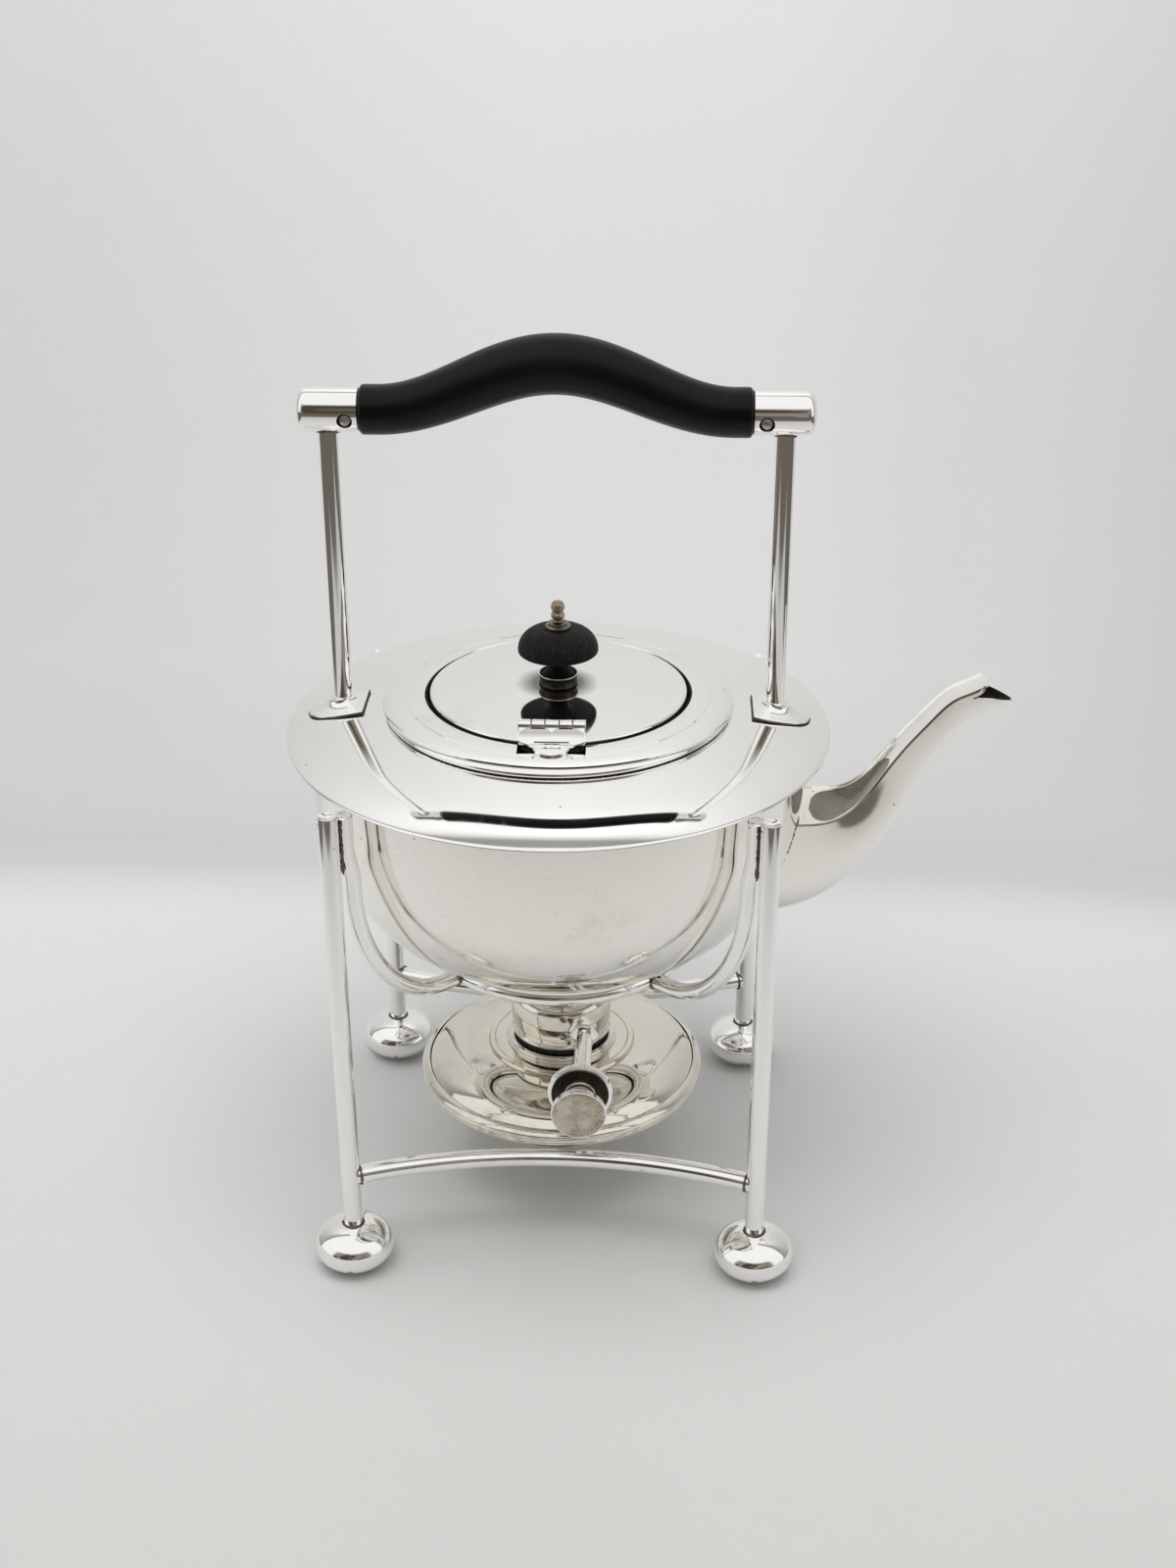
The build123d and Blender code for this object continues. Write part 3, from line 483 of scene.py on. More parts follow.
@dataclass
class MaterialBench:
    """One material being wired: its board, its shader and its object coordinates."""

    name: str
    metallic: float = 0.0
    board: Board = field(init=False)
    shader: bpy.types.Node = field(init=False)
    where: bpy.types.NodeSocket = field(init=False)
    material: Material = field(init=False)

    def __post_init__(self) -> None:
        """Starts the material with a Principled shader."""
        self.material = bpy.data.materials.new(self.name)
        self.material.use_nodes = True
        self.material.node_tree.nodes.clear()
        self.board = Board(self.material.node_tree)
        self.shader = self.board.add("ShaderNodeBsdfPrincipled", {"Metallic": self.metallic})
        output = self.board.add("ShaderNodeOutputMaterial")
        self.board.feed(output.inputs["Surface"], self.shader.outputs[0])
        self.where = self.board.add("ShaderNodeTexCoord").outputs["Object"]

    def group(self, tree: bpy.types.NodeTree, inputs: dict[str, Any]) -> bpy.types.Node:
        """Places a shared node group, fed with the object coordinates."""
        node = self.board.add("ShaderNodeGroup", node_tree=tree)
        for key, value in {"Vector": self.where, **inputs}.items():
            self.board.feed(node.inputs[key], value)
        return node

    def noise(
        self, scale: float, detail: float = 3.0, stretch: Triple = (1.0, 1.0, 1.0)
    ) -> bpy.types.NodeSocket:
        """Adds noise over the object, stretched along the axes, and gives its value."""
        mapped = self.board.add("ShaderNodeMapping", {"Vector": self.where, "Scale": stretch})
        node = self.board.add(
            "ShaderNodeTexNoise", {"Vector": mapped.outputs[0], "Scale": scale, "Detail": detail}
        )
        return node.outputs["Fac"]

    def marked(self, colour: Any, marks: bpy.types.Node, share: float, tone: Tone) -> bpy.types.NodeSocket:
        """Blends a share of a tone over the colour where a group's mask lies."""
        return self.board.blend(self.board.math("MULTIPLY", marks.outputs["Mask"], share), colour, tone)

    def finish(self, colour: Any, roughness: Any, height: Any, depth: float) -> Material:
        """Wires colour, roughness and bump.

        Args:
            colour: Base colour, a value or an output.
            roughness: Roughness, a value or an output.
            height: Height for the bump.
            depth: The bump's distance in metres.

        Returns:
            The finished material.
        """
        self.board.feed(self.shader.inputs["Base Color"], colour)
        self.board.feed(self.shader.inputs["Roughness"], roughness)
        bump = self.board.add("ShaderNodeBump", {"Strength": 1.0, "Distance": depth, "Height": height})
        self.board.feed(self.shader.inputs["Normal"], bump.outputs[0])
        return self.material


@dataclass(frozen=True)
class SilverPlate:
    """Polished or rubbed silver plate with fine scratches, a warm bloom in places and, on the lid, painted
    shade around the knob.

    Attributes:
        knob_shade_radius: Size in metres of a painted dark patch around the kettle's axis, standing for the
            knob's shade and reflection on the lid, or 0 for none.
        scratch_tint: Share of the scratches' own tone, or 0 to show them by their roughness only.
    """

    clean: Tone = (0.955, 0.95, 0.935, 1.0)
    stained: Tone = (0.50, 0.43, 0.32, 1.0)
    roughness: float = 0.025
    haze: float = 0.035
    scratch_amount: float = 0.5
    tarnish_cover: float = 0.22
    wave: float = 0.00002
    knob_shade_radius: float = 0.0
    scratch_tint: float = 0.0
    knob_shade_tone: Tone = (0.11, 0.10, 0.08, 1.0)
    pit_tone: Tone = (0.08, 0.07, 0.06, 1.0)
    scratch_tone: Tone = (0.30, 0.27, 0.22, 1.0)

    def make(self, kit: ShaderKit, name: str) -> Material:
        """Builds the material with the shared groups."""
        bench = MaterialBench(name, metallic=1.0)
        board = bench.board
        lines = bench.group(kit.scratches, {"Amount": self.scratch_amount})
        stain = bench.group(kit.tarnish, {"Coverage": self.tarnish_cover})
        pits = bench.group(kit.pits, {})
        colour = bench.marked(self.clean, stain, 0.5, self.stained)
        # Painted shade: a ragged dark patch round the axis stands for the knob's shade and reflection.
        if self.knob_shade_radius:
            colour = board.blend(self._knob_shade(bench, stain.outputs["Haze"]), colour, self.knob_shade_tone)
        colour = bench.marked(colour, pits, 0.7, self.pit_tone)
        if self.scratch_tint:
            colour = bench.marked(colour, lines, self.scratch_tint, self.scratch_tone)
        rough = board.ramp(stain.outputs["Haze"], 0.3, 0.7, self.roughness, self.roughness + self.haze)
        rough = board.math("ADD", rough, board.math("MULTIPLY", lines.outputs["Mask"], 0.12))
        rough = board.math("ADD", rough, board.math("MULTIPLY", stain.outputs["Mask"], 0.08), clamp=True)
        ripple = bench.noise(22.0, 1.0)
        height = board.math("ADD", ripple, board.math("MULTIPLY", lines.outputs["Height"], 0.12))
        return bench.finish(colour, rough, height, self.wave)

    def _knob_shade(self, bench: MaterialBench, haze: Any) -> bpy.types.NodeSocket:
        """Gives the share of the ragged painted shade around the kettle's axis, under the black knob."""
        board = bench.board
        spot = board.add("ShaderNodeSeparateXYZ", {0: bench.where})
        aside = board.math("SUBTRACT", spot.outputs[0], AXIS_X * MM)
        squares = [board.math("POWER", side, 2.0) for side in (aside, spot.outputs[1])]
        away = board.math("SQRT", board.math("ADD", *squares))
        ragged = board.math("ADD", away, board.math("MULTIPLY", haze, 0.5 * self.knob_shade_radius))
        return board.ramp(ragged, 1.35 * self.knob_shade_radius, 0.85 * self.knob_shade_radius, 0.0, 0.9)


@dataclass(frozen=True)
class MottledMetal:
    """Duller metal, stained in patches: the finial, the winder's face, brass and solder."""

    light: Tone
    dark: Tone
    rough_low: float
    rough_high: float
    cover: float = 0.55
    scale: float = 120.0
    depth: float = 0.00003
    grain: Triple = (1.0, 1.0, 1.0)

    def make(self, kit: ShaderKit, name: str) -> Material:
        """Builds the material with the shared groups."""
        bench = MaterialBench(name, metallic=1.0)
        board = bench.board
        stain = bench.group(kit.tarnish, {"Scale": self.scale, "Coverage": self.cover})
        lines = bench.group(kit.scratches, {"Scale": 260.0, "Amount": 0.7})
        grain = bench.noise(900.0, 4.0, self.grain)
        colour = board.blend(stain.outputs["Mask"], self.light, self.dark)
        rough = board.ramp(stain.outputs["Haze"], 0.3, 0.7, self.rough_low, self.rough_high)
        rough = board.math("ADD", rough, board.math("MULTIPLY", lines.outputs["Mask"], 0.1), clamp=True)
        return bench.finish(colour, rough, board.math("ADD", grain, stain.outputs["Mask"]), self.depth)


@dataclass(frozen=True)
class BlackGrip:
    """Satin black moulded or ebonised grip."""

    dark: Tone = (0.0015, 0.0015, 0.0016, 1.0)
    light: Tone = (0.004, 0.004, 0.004, 1.0)
    scratch: Tone = (0.03, 0.03, 0.03, 1.0)

    def make(self, kit: ShaderKit, name: str) -> Material:
        """Builds the material with the shared groups."""
        bench = MaterialBench(name)
        board = bench.board
        lines = bench.group(kit.scratches, {"Scale": 120.0, "Amount": 0.6})
        cloud = bench.noise(40.0, 4.0)
        fine = bench.noise(1400.0, 2.0)
        colour = board.blend(board.ramp(cloud, 0.35, 0.7), self.dark, self.light)
        colour = bench.marked(colour, lines, 0.15, self.scratch)
        rough = board.ramp(cloud, 0.3, 0.75, 0.30, 0.42)
        board.feed(bench.shader.inputs["Specular IOR Level"], 0.2)
        return bench.finish(colour, rough, fine, 0.00002)


@dataclass(frozen=True)
class DullEbony:
    """Dry black wood with a faint grain and worn pale marks."""

    dark: Tone = (0.004, 0.004, 0.004, 1.0)
    light: Tone = (0.012, 0.011, 0.011, 1.0)
    worn: Tone = (0.05, 0.047, 0.045, 1.0)
    scratch: Tone = (0.08, 0.08, 0.08, 1.0)

    def make(self, kit: ShaderKit, name: str) -> Material:
        """Builds the material with the shared groups."""
        bench = MaterialBench(name)
        board = bench.board
        grain = bench.noise(500.0, 5.0, (1.0, 1.0, 0.12))
        worn = bench.group(kit.tarnish, {"Scale": 90.0, "Coverage": 0.36})
        lines = bench.group(kit.scratches, {"Scale": 200.0, "Amount": 1.0})
        board.feed(bench.shader.inputs["Specular IOR Level"], 0.14)
        colour = board.blend(board.ramp(grain, 0.35, 0.7), self.dark, self.light)
        colour = bench.marked(colour, worn, 0.35, self.worn)
        colour = bench.marked(colour, lines, 0.35, self.scratch)
        rough = board.ramp(grain, 0.3, 0.7, 0.48, 0.66)
        height = board.math("ADD", grain, lines.outputs["Height"])
        return bench.finish(colour, rough, height, 0.00005)


@dataclass(frozen=True)
class WovenOrHide:
    """Cotton, leather or the matt black used as painted shade: matt, with a fine uneven surface."""

    light: Tone
    dark: Tone
    scale: float
    stretch: Triple = (1.0, 1.0, 1.0)

    def make(self, kit: ShaderKit, name: str) -> Material:
        """Builds the material with the shared groups."""
        bench = MaterialBench(name)
        board = bench.board
        weave = bench.noise(self.scale, 4.0, self.stretch)
        stain = bench.group(kit.tarnish, {"Scale": 150.0, "Coverage": 0.4})
        share = board.math(
            "ADD", board.ramp(weave, 0.35, 0.65), board.math("MULTIPLY", stain.outputs["Mask"], 0.5)
        )
        colour = board.blend(board.math("MINIMUM", share, 1.0), self.light, self.dark)
        return bench.finish(colour, board.ramp(weave, 0.3, 0.7, 0.75, 0.95), weave, 0.0001)


FINISHES: dict[Finish, Any] = {
    Finish.POLISHED: SilverPlate(),
    Finish.SATIN: SilverPlate(
        (0.94, 0.92, 0.875, 1.0), roughness=0.06, haze=0.06, scratch_amount=0.9, tarnish_cover=0.28,
        scratch_tint=0.2
    ),
    # The warm tint and tarnish are the burner's own; its clean tone is also darkened as painted shade for its
    # place under the kettle.
    Finish.WARM: SilverPlate(
        (0.79, 0.76, 0.69, 1.0), (0.34, 0.28, 0.19, 1.0), tarnish_cover=0.4, scratch_tint=0.15
    ),
    # The lid's silver, with painted shade and reflection of the black knob around its centre.
    Finish.LID: SilverPlate(knob_shade_radius=0.0125),
    Finish.SMOKED: MottledMetal(
        (0.22, 0.20, 0.17, 1.0), (0.05, 0.04, 0.03, 1.0), 0.10, 0.22, cover=0.5, scale=200.0
    ),
    Finish.AGED: MottledMetal(
        (0.60, 0.52, 0.40, 1.0), (0.15, 0.11, 0.08, 1.0), 0.2, 0.4, cover=0.55, scale=260.0
    ),
    Finish.OLIVE: MottledMetal(
        (0.24, 0.228, 0.185, 1.0), (0.12, 0.11, 0.085, 1.0), 0.08, 0.14, cover=0.5, scale=90.0
    ),
    Finish.FACE: MottledMetal(
        (0.60, 0.555, 0.475, 1.0), (0.24, 0.185, 0.115, 1.0), 0.2, 0.36, cover=0.46, scale=170.0
    ),
    Finish.NICKEL: MottledMetal((0.60, 0.56, 0.50, 1.0), (0.20, 0.17, 0.13, 1.0), 0.26, 0.44, cover=0.5),
    # Matt black for sheets laid in gaps, crevices and hollows as painted shade.
    Finish.PAINTED_SHADE: WovenOrHide((0.010, 0.009, 0.008, 1.0), (0.004, 0.004, 0.0035, 1.0), 600.0),
    # Dull black: painted shade in the winder's dish and under the knob, and the real dark joint round the
    # handle's plates.
    Finish.BLACK_JOINT_AND_SHADE: MottledMetal((0.07, 0.062, 0.052, 1.0), (0.015, 0.013, 0.011, 1.0), 0.3, 0.5),
    Finish.SOLDER: MottledMetal(
        (0.24, 0.21, 0.17, 1.0), (0.035, 0.03, 0.024, 1.0), 0.35, 0.6, scale=260.0, depth=0.0001
    ),
    Finish.GRIP: BlackGrip(),
    Finish.EBONY: DullEbony(),
    Finish.BRASS: MottledMetal((0.72, 0.55, 0.30, 1.0), (0.30, 0.20, 0.10, 1.0), 0.22, 0.4, cover=0.4),
    Finish.WICK: WovenOrHide(
        (0.70, 0.66, 0.56, 1.0), (0.30, 0.25, 0.18, 1.0), 800.0, (1.0, 1.0, 0.1)
    ),
    Finish.LEATHER: WovenOrHide(
        (0.03, 0.022, 0.017, 1.0), (0.012, 0.009, 0.007, 1.0), 600.0
    ),
}


# ---------------------------------------------------------------- geometry node trees


@dataclass
class GeometryTree:
    """A geometry node tree with named inputs that is run once and then made a plain mesh."""

    name: str
    inputs: dict[str, Any]
    board: Board = field(init=False)
    given: bpy.types.Node = field(init=False)

    def __post_init__(self) -> None:
        """Makes the tree's interface."""
        tree = bpy.data.node_groups.new(self.name, "GeometryNodeTree")
        tree.is_modifier = True
        tree.interface.new_socket("Geometry", in_out="INPUT", socket_type="NodeSocketGeometry")
        for label, value in self.inputs.items():
            socket = tree.interface.new_socket(label, in_out="INPUT", socket_type=socket_kind(value))
            socket.default_value = value
        tree.interface.new_socket("Finish", in_out="INPUT", socket_type="NodeSocketMaterial")
        tree.interface.new_socket("Geometry", in_out="OUTPUT", socket_type="NodeSocketGeometry")
        self.board = Board(tree)
        self.given = self.board.add("NodeGroupInput")

    def get(self, label: str) -> bpy.types.NodeSocket:
        """Gives one of the tree's named inputs."""
        return self.given.outputs[label]

    def end(self, geometry: bpy.types.NodeSocket, smooth: bool = True) -> None:
        """Ends the tree at its centre, if it has one, with realised instances, shading and the finish."""
        if "Centre" in self.inputs:
            moves = {"Geometry": geometry, "Translation": self.get("Centre")}
            if "Turn" in self.inputs:
                moves["Rotation"] = self.get("Turn")
            geometry = self.board.add("GeometryNodeTransform", moves).outputs[0]
        real = self.board.add("GeometryNodeRealizeInstances", {0: geometry})
        shaded = self.board.add(
            "GeometryNodeSetShadeSmooth", {"Geometry": real.outputs[0], "Shade Smooth": smooth}
        )
        dressed = self.board.add(
            "GeometryNodeSetMaterial", {"Geometry": shaded.outputs[0], "Material": self.get("Finish")}
        )
        self.board.add("NodeGroupOutput", {0: dressed.outputs[0]})

    def run(self, start: bpy.types.Mesh, values: dict[str, Any], material: Material) -> BMesh:
        """Evaluates the tree on a starting mesh.

        Args:
            start: The mesh that the modifier sits on.
            values: Inputs that differ from the defaults.
            material: The finish that the tree sets.

        Returns:
            The result as a plain mesh.
        """
        carrier = bpy.data.objects.new(f"{self.name}_carrier", start)
        bpy.context.scene.collection.objects.link(carrier)
        modifier = carrier.modifiers.new(self.name, "NODES")
        modifier.node_group = self.board.tree
        for item in self.board.tree.interface.items_tree:
            if item.in_out == "INPUT" and item.name in values:
                modifier[item.identifier] = values[item.name]
            elif item.in_out == "INPUT" and item.name == "Finish":
                modifier[item.identifier] = material
        depsgraph = bpy.context.evaluated_depsgraph_get()
        data = bpy.data.meshes.new_from_object(carrier.evaluated_get(depsgraph))
        result = bmesh.new()
        result.from_mesh(data)
        bpy.data.objects.remove(carrier)
        bpy.data.meshes.remove(data)
        bpy.data.meshes.remove(start)
        return result


def path_mesh(points: Sequence[Vector], closed: bool = False) -> bpy.types.Mesh:
    """Makes a mesh of edges through points, for a tree to read as a curve."""
    mesh = bpy.data.meshes.new("path")
    edges = [(index, index + 1) for index in range(len(points) - 1)]
    if closed:
        edges.append((len(points) - 1, 0))
    mesh.from_pydata([tuple(point) for point in points], edges, [])
    return mesh


def seam_tree() -> GeometryTree:
    """A lumpy bead of solder along a path."""
    tree = GeometryTree("solder_seam", {"Radius": 0.0006, "Lumps": 0.35, "Step": 0.0006, "Seed": 3})
    board = tree.board
    curve = board.add("GeometryNodeMeshToCurve", {0: tree.get("Geometry")})
    even = board.add(
        "GeometryNodeResampleCurve", {"Curve": curve.outputs[0], "Length": tree.get("Step")}, mode="LENGTH"
    )
    low = board.math("SUBTRACT", 1.0, tree.get("Lumps"))
    high = board.math("ADD", 1.0, tree.get("Lumps"))
    size = board.add(
        "FunctionNodeRandomValue", {2: low, 3: high, "Seed": tree.get("Seed")}, data_type="FLOAT"
    )
    section = board.add("GeometryNodeCurvePrimitiveCircle", {"Resolution": 10, "Radius": tree.get("Radius")})
    bead = board.add(
        "GeometryNodeCurveToMesh",
        {
            "Curve": even.outputs[0], "Profile Curve": section.outputs[0], "Scale": size.outputs[1],
            "Fill Caps": True
        },
    )
    tree.end(bead.outputs[0])
    return tree


def knurl_tree() -> GeometryTree:
    """Pointed ridges around a disc's edge, about the tree's Z axis."""
    tree = GeometryTree(
        "knurled_edge",
        {
            "Radius": 0.009, "Count": 90, "Ridge": 0.0005, "Length": 0.002, "Turn": (1.5708, 0.0, 0.0),
            "Centre": (0.0, 0.0, 0.0)
        },
    )
    board = tree.board
    ring = board.add("GeometryNodeMeshCircle", {"Vertices": tree.get("Count"), "Radius": tree.get("Radius")})
    ridge, length = tree.get("Ridge"), tree.get("Length")
    shape = {"Vertices": 4, "Radius Top": ridge, "Radius Bottom": ridge, "Depth": length}
    bar = board.add("GeometryNodeMeshCone", shape)
    middle = board.add("ShaderNodeCombineXYZ", {2: board.math("MULTIPLY", tree.get("Length"), -0.5)})
    centred = board.add(
        "GeometryNodeTransform", {"Geometry": bar.outputs[0], "Translation": middle.outputs[0]}
    )
    index = board.add("GeometryNodeInputIndex")
    share = board.math("DIVIDE", index.outputs[0], tree.get("Count"))
    facing = board.add("ShaderNodeCombineXYZ", {2: board.math("MULTIPLY", share, math.tau)})
    ridges = board.add(
        "GeometryNodeInstanceOnPoints",
        {"Points": ring.outputs[0], "Instance": centred.outputs[0], "Rotation": facing.outputs[0]},
    )
    tree.end(ridges.outputs[0], smooth=False)
    return tree


def grip_tree() -> GeometryTree:
    """The grip: a round bar whose middle rises and swells along a cosine."""
    tree = GeometryTree(
        "bent_grip",
        {"Half": 0.0602, "Bend": 0.0547, "Rise": 0.0146, "End Radius": 0.0077, "Swell": 0.0015,
         "Chamfer": 0.0012,
         "Centre": (0.0, 0.0, 0.0)},
    )
    board = tree.board
    ends = []
    for side in (-1.0, 1.0):
        ends.append(board.add("ShaderNodeCombineXYZ", {0: board.math("MULTIPLY", tree.get("Half"), side)}))
    line = board.add(
        "GeometryNodeCurvePrimitiveLine", {"Start": ends[0].outputs[0], "End": ends[1].outputs[0]}
    )
    even = board.add("GeometryNodeResampleCurve", {"Curve": line.outputs[0], "Count": 240}, mode="COUNT")
    where = board.add("ShaderNodeSeparateXYZ", {0: board.add("GeometryNodeInputPosition").outputs[0]})
    reach = board.math("ABSOLUTE", where.outputs[0])
    bent = board.math("MINIMUM", board.math("DIVIDE", reach, tree.get("Bend")), 1.0)
    turn = board.math("MULTIPLY", bent, math.pi)
    swell = board.math("MULTIPLY", board.math("ADD", board.math("COSINE", turn), 1.0), 0.5)
    chamfer = tree.get("Chamfer")
    past = board.math(
        "MAXIMUM", board.math("SUBTRACT", reach, board.math("SUBTRACT", tree.get("Half"), chamfer)), 0.0
    )
    radius = board.math("ADD", tree.get("End Radius"), board.math("MULTIPLY", swell, tree.get("Swell")))
    radius = board.math("SUBTRACT", radius, board.math("MULTIPLY", past, board.math("DIVIDE", past, chamfer)))
    kept = board.add("GeometryNodeCaptureAttribute", {"Geometry": even.outputs[0]}, domain="POINT")
    kept.capture_items.new("FLOAT", "Size")
    board.feed(kept.inputs[1], radius)
    lift = board.add("ShaderNodeCombineXYZ", {2: board.math("MULTIPLY", swell, tree.get("Rise"))})
    raised = board.add("GeometryNodeSetPosition", {"Geometry": kept.outputs[0], "Offset": lift.outputs[0]})
    section = board.add("GeometryNodeCurvePrimitiveCircle", {"Resolution": 72, "Radius": 1.0})
    bar = board.add(
        "GeometryNodeCurveToMesh",
        {
            "Curve": raised.outputs[0], "Profile Curve": section.outputs[0], "Scale": kept.outputs[1],
            "Fill Caps": True
        },
    )
    tree.end(bar.outputs[0])
    return tree


def wick_tree() -> GeometryTree:
    """Strands packed in a round bundle, uneven at the top."""
    tree = GeometryTree(
        "wick_strands",
        {"Bundle": 0.0038, "Count": 46, "Strand": 0.00055, "Length": 0.038, "Uneven": 0.0012, "Seed": 8,
         "Centre": (0.0, 0.0, 0.0)},
    )
    board = tree.board
    points = board.add("GeometryNodePoints", {"Count": tree.get("Count")})
    index = board.add("GeometryNodeInputIndex").outputs[0]
    angle = board.math("MULTIPLY", index, GOLDEN_ANGLE)
    share = board.math("SQRT", board.math("DIVIDE", index, tree.get("Count")))
    radius = board.math("MULTIPLY", share, tree.get("Bundle"))
    drop = board.add(
        "FunctionNodeRandomValue", {2: -1.0, 3: 0.0, "Seed": tree.get("Seed")}, data_type="FLOAT"
    )
    spot = board.add(
        "ShaderNodeCombineXYZ",
        {
            0: board.math("MULTIPLY", board.math("COSINE", angle), radius),
            1: board.math("MULTIPLY", board.math("SINE", angle), radius),
            2: board.math("MULTIPLY", drop.outputs[1], tree.get("Uneven")),
        },
    )
    set_out = board.add(
        "GeometryNodeSetPosition", {"Geometry": points.outputs[0], "Position": spot.outputs[0]}
    )
    strand = board.add(
        "GeometryNodeMeshCylinder", {"Vertices": 8, "Radius": tree.get("Strand"), "Depth": tree.get("Length")}
    )
    bundle = board.add(
        "GeometryNodeInstanceOnPoints", {"Points": set_out.outputs[0], "Instance": strand.outputs[0]}
    )
    tree.end(bundle.outputs[0])
    return tree


def thread_tree() -> GeometryTree:
    """A screw thread's crest as a helix about the vertical."""
    tree = GeometryTree(
        "screw_thread",
        {"Radius": 0.0129, "Turns": 3.0, "Height": 0.0066, "Crest": 0.0005, "Centre": (0.0, 0.0, 0.0)},
    )
    board = tree.board
    helix = board.add(
        "GeometryNodeCurveSpiral",
        {"Resolution": 72, "Rotations": tree.get("Turns"), "Start Radius": tree.get("Radius"),
         "End Radius": tree.get("Radius"), "Height": tree.get("Height")},
    )
    section = board.add("GeometryNodeCurvePrimitiveCircle", {"Resolution": 6, "Radius": tree.get("Crest")})
    crest = board.add(
        "GeometryNodeCurveToMesh",
        {"Curve": helix.outputs[0], "Profile Curve": section.outputs[0], "Fill Caps": True}
    )
    tree.end(crest.outputs[0])
    return tree


# ---------------------------------------------------------------- the workshop


@dataclass
class Workshop:
    """Makes finished pieces that ride on the frame's bodies."""

    frame: dict[str, Any]
    materials: dict[Finish, Material] = field(init=False)
    seams: GeometryTree = field(init=False)
    knurls: GeometryTree = field(init=False)

    def __post_init__(self) -> None:
        """Builds the materials and the shared trees."""
        kit = ShaderKit()
        self.materials = {finish: recipe.make(kit, finish.value) for finish, recipe in FINISHES.items()}
        self.seams = seam_tree()
        self.knurls = knurl_tree()

    def piece(
        self,
        name: str,
        mesh: BMesh,
        finish: Finish,
        body: str,
        nodes: Sequence[str] = (),
        cutters: Sequence[BMesh] = (),
        crease: float = 32.0,
    ) -> Object:
        """Finishes a mesh as a piece.

        Args:
            name: The piece's name.
            mesh: Its mesh, in the frame's metres; it is freed.
            finish: Its finish.
            body: The body it rides on.
            nodes: The frame's nodes it stands for.
            cutters: Closed meshes taken out of it.
            crease: Angle in degrees above which an edge stays sharp.

        Returns:
            The piece.
        """
        data = bpy.data.meshes.new(name)
        bmesh.ops.recalc_face_normals(mesh, faces=mesh.faces)
        mesh.to_mesh(data)
        mesh.free()
        for cutter in cutters:
            data = self._cut(data, cutter)
        data.name = name
        data.materials.clear()
        data.materials.append(self.materials[finish])
        data.shade_smooth()
        data.set_sharp_from_angle(angle=math.radians(crease))
        made = bpy.data.objects.new(name, data)
        bpy.context.scene.collection.objects.link(made)
        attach(made, body)
        if nodes:
            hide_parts(*nodes)
        LOG.info("%s: %d faces on %s", name, len(data.polygons), body)
        return made

    def _cut(self, data: bpy.types.Mesh, cutter: BMesh) -> bpy.types.Mesh:
        """Takes a closed mesh out of another and gives the result."""
        tool_data = bpy.data.meshes.new("cutter")
        bmesh.ops.recalc_face_normals(cutter, faces=cutter.faces)
        cutter.to_mesh(tool_data)
        cutter.free()
        tool = bpy.data.objects.new("cutter", tool_data)
        blank = bpy.data.objects.new("blank", data)
        for thing in (tool, blank):
            bpy.context.scene.collection.objects.link(thing)
        modifier = blank.modifiers.new("cut", "BOOLEAN")
        modifier.operation = "DIFFERENCE"
        modifier.solver = "EXACT"
        modifier.object = tool
        depsgraph = bpy.context.evaluated_depsgraph_get()
        result = bpy.data.meshes.new_from_object(blank.evaluated_get(depsgraph))
        bpy.data.objects.remove(blank)
        bpy.data.objects.remove(tool)
        bpy.data.meshes.remove(data)
        bpy.data.meshes.remove(tool_data)
        return result

    def seam(self, name: str, points: Sequence[Vector], body: str, radius: float = 0.6, closed: bool = False,
             lumps: float = 0.35, finish: Finish = Finish.SOLDER) -> Object:
        """Lays a bead of solder along a path.

        Args:
            name: The piece's name.
            points: The path, in metres.
            body: The body it rides on.
            radius: The bead's radius in millimetres.
            closed: Whether the path is a loop.
            lumps: How uneven the bead is, from 0 to 1.
            finish: Its finish.

        Returns:
            The piece.
        """
        values = {"Radius": radius * MM, "Lumps": lumps, "Step": radius * MM * 1.1}
        mesh = self.seams.run(path_mesh(points, closed), values, self.materials[finish])
        return self.piece(name, mesh, finish, body, crease=80.0)

    def dress(self, node: str, finish: Finish) -> None:
        """Gives a node of the frame its finish."""
        data = self.frame["nodes"][node].data
        data.materials.clear()
        data.materials.append(self.materials[finish])


def ring_path(radius: float, z: float, x: float = 0.0, y: float = 0.0, count: int = 64) -> list[Vector]:
    """Gives points of a level circle, with its sizes in millimetres."""
    return [place(x + radius * math.cos(a), y + radius * math.sin(a), z) for a in turns(count)]


def arc_points(radius: float, start: float, end: float, steps: int) -> list[Pair]:
    """Gives points of an arc in an outline's plane, with its angles in degrees."""
    points = []
    for index in range(steps + 1):
        angle = math.radians(start + (end - start) * index / steps)
        points.append((radius * math.cos(angle), radius * math.sin(angle)))
    return points


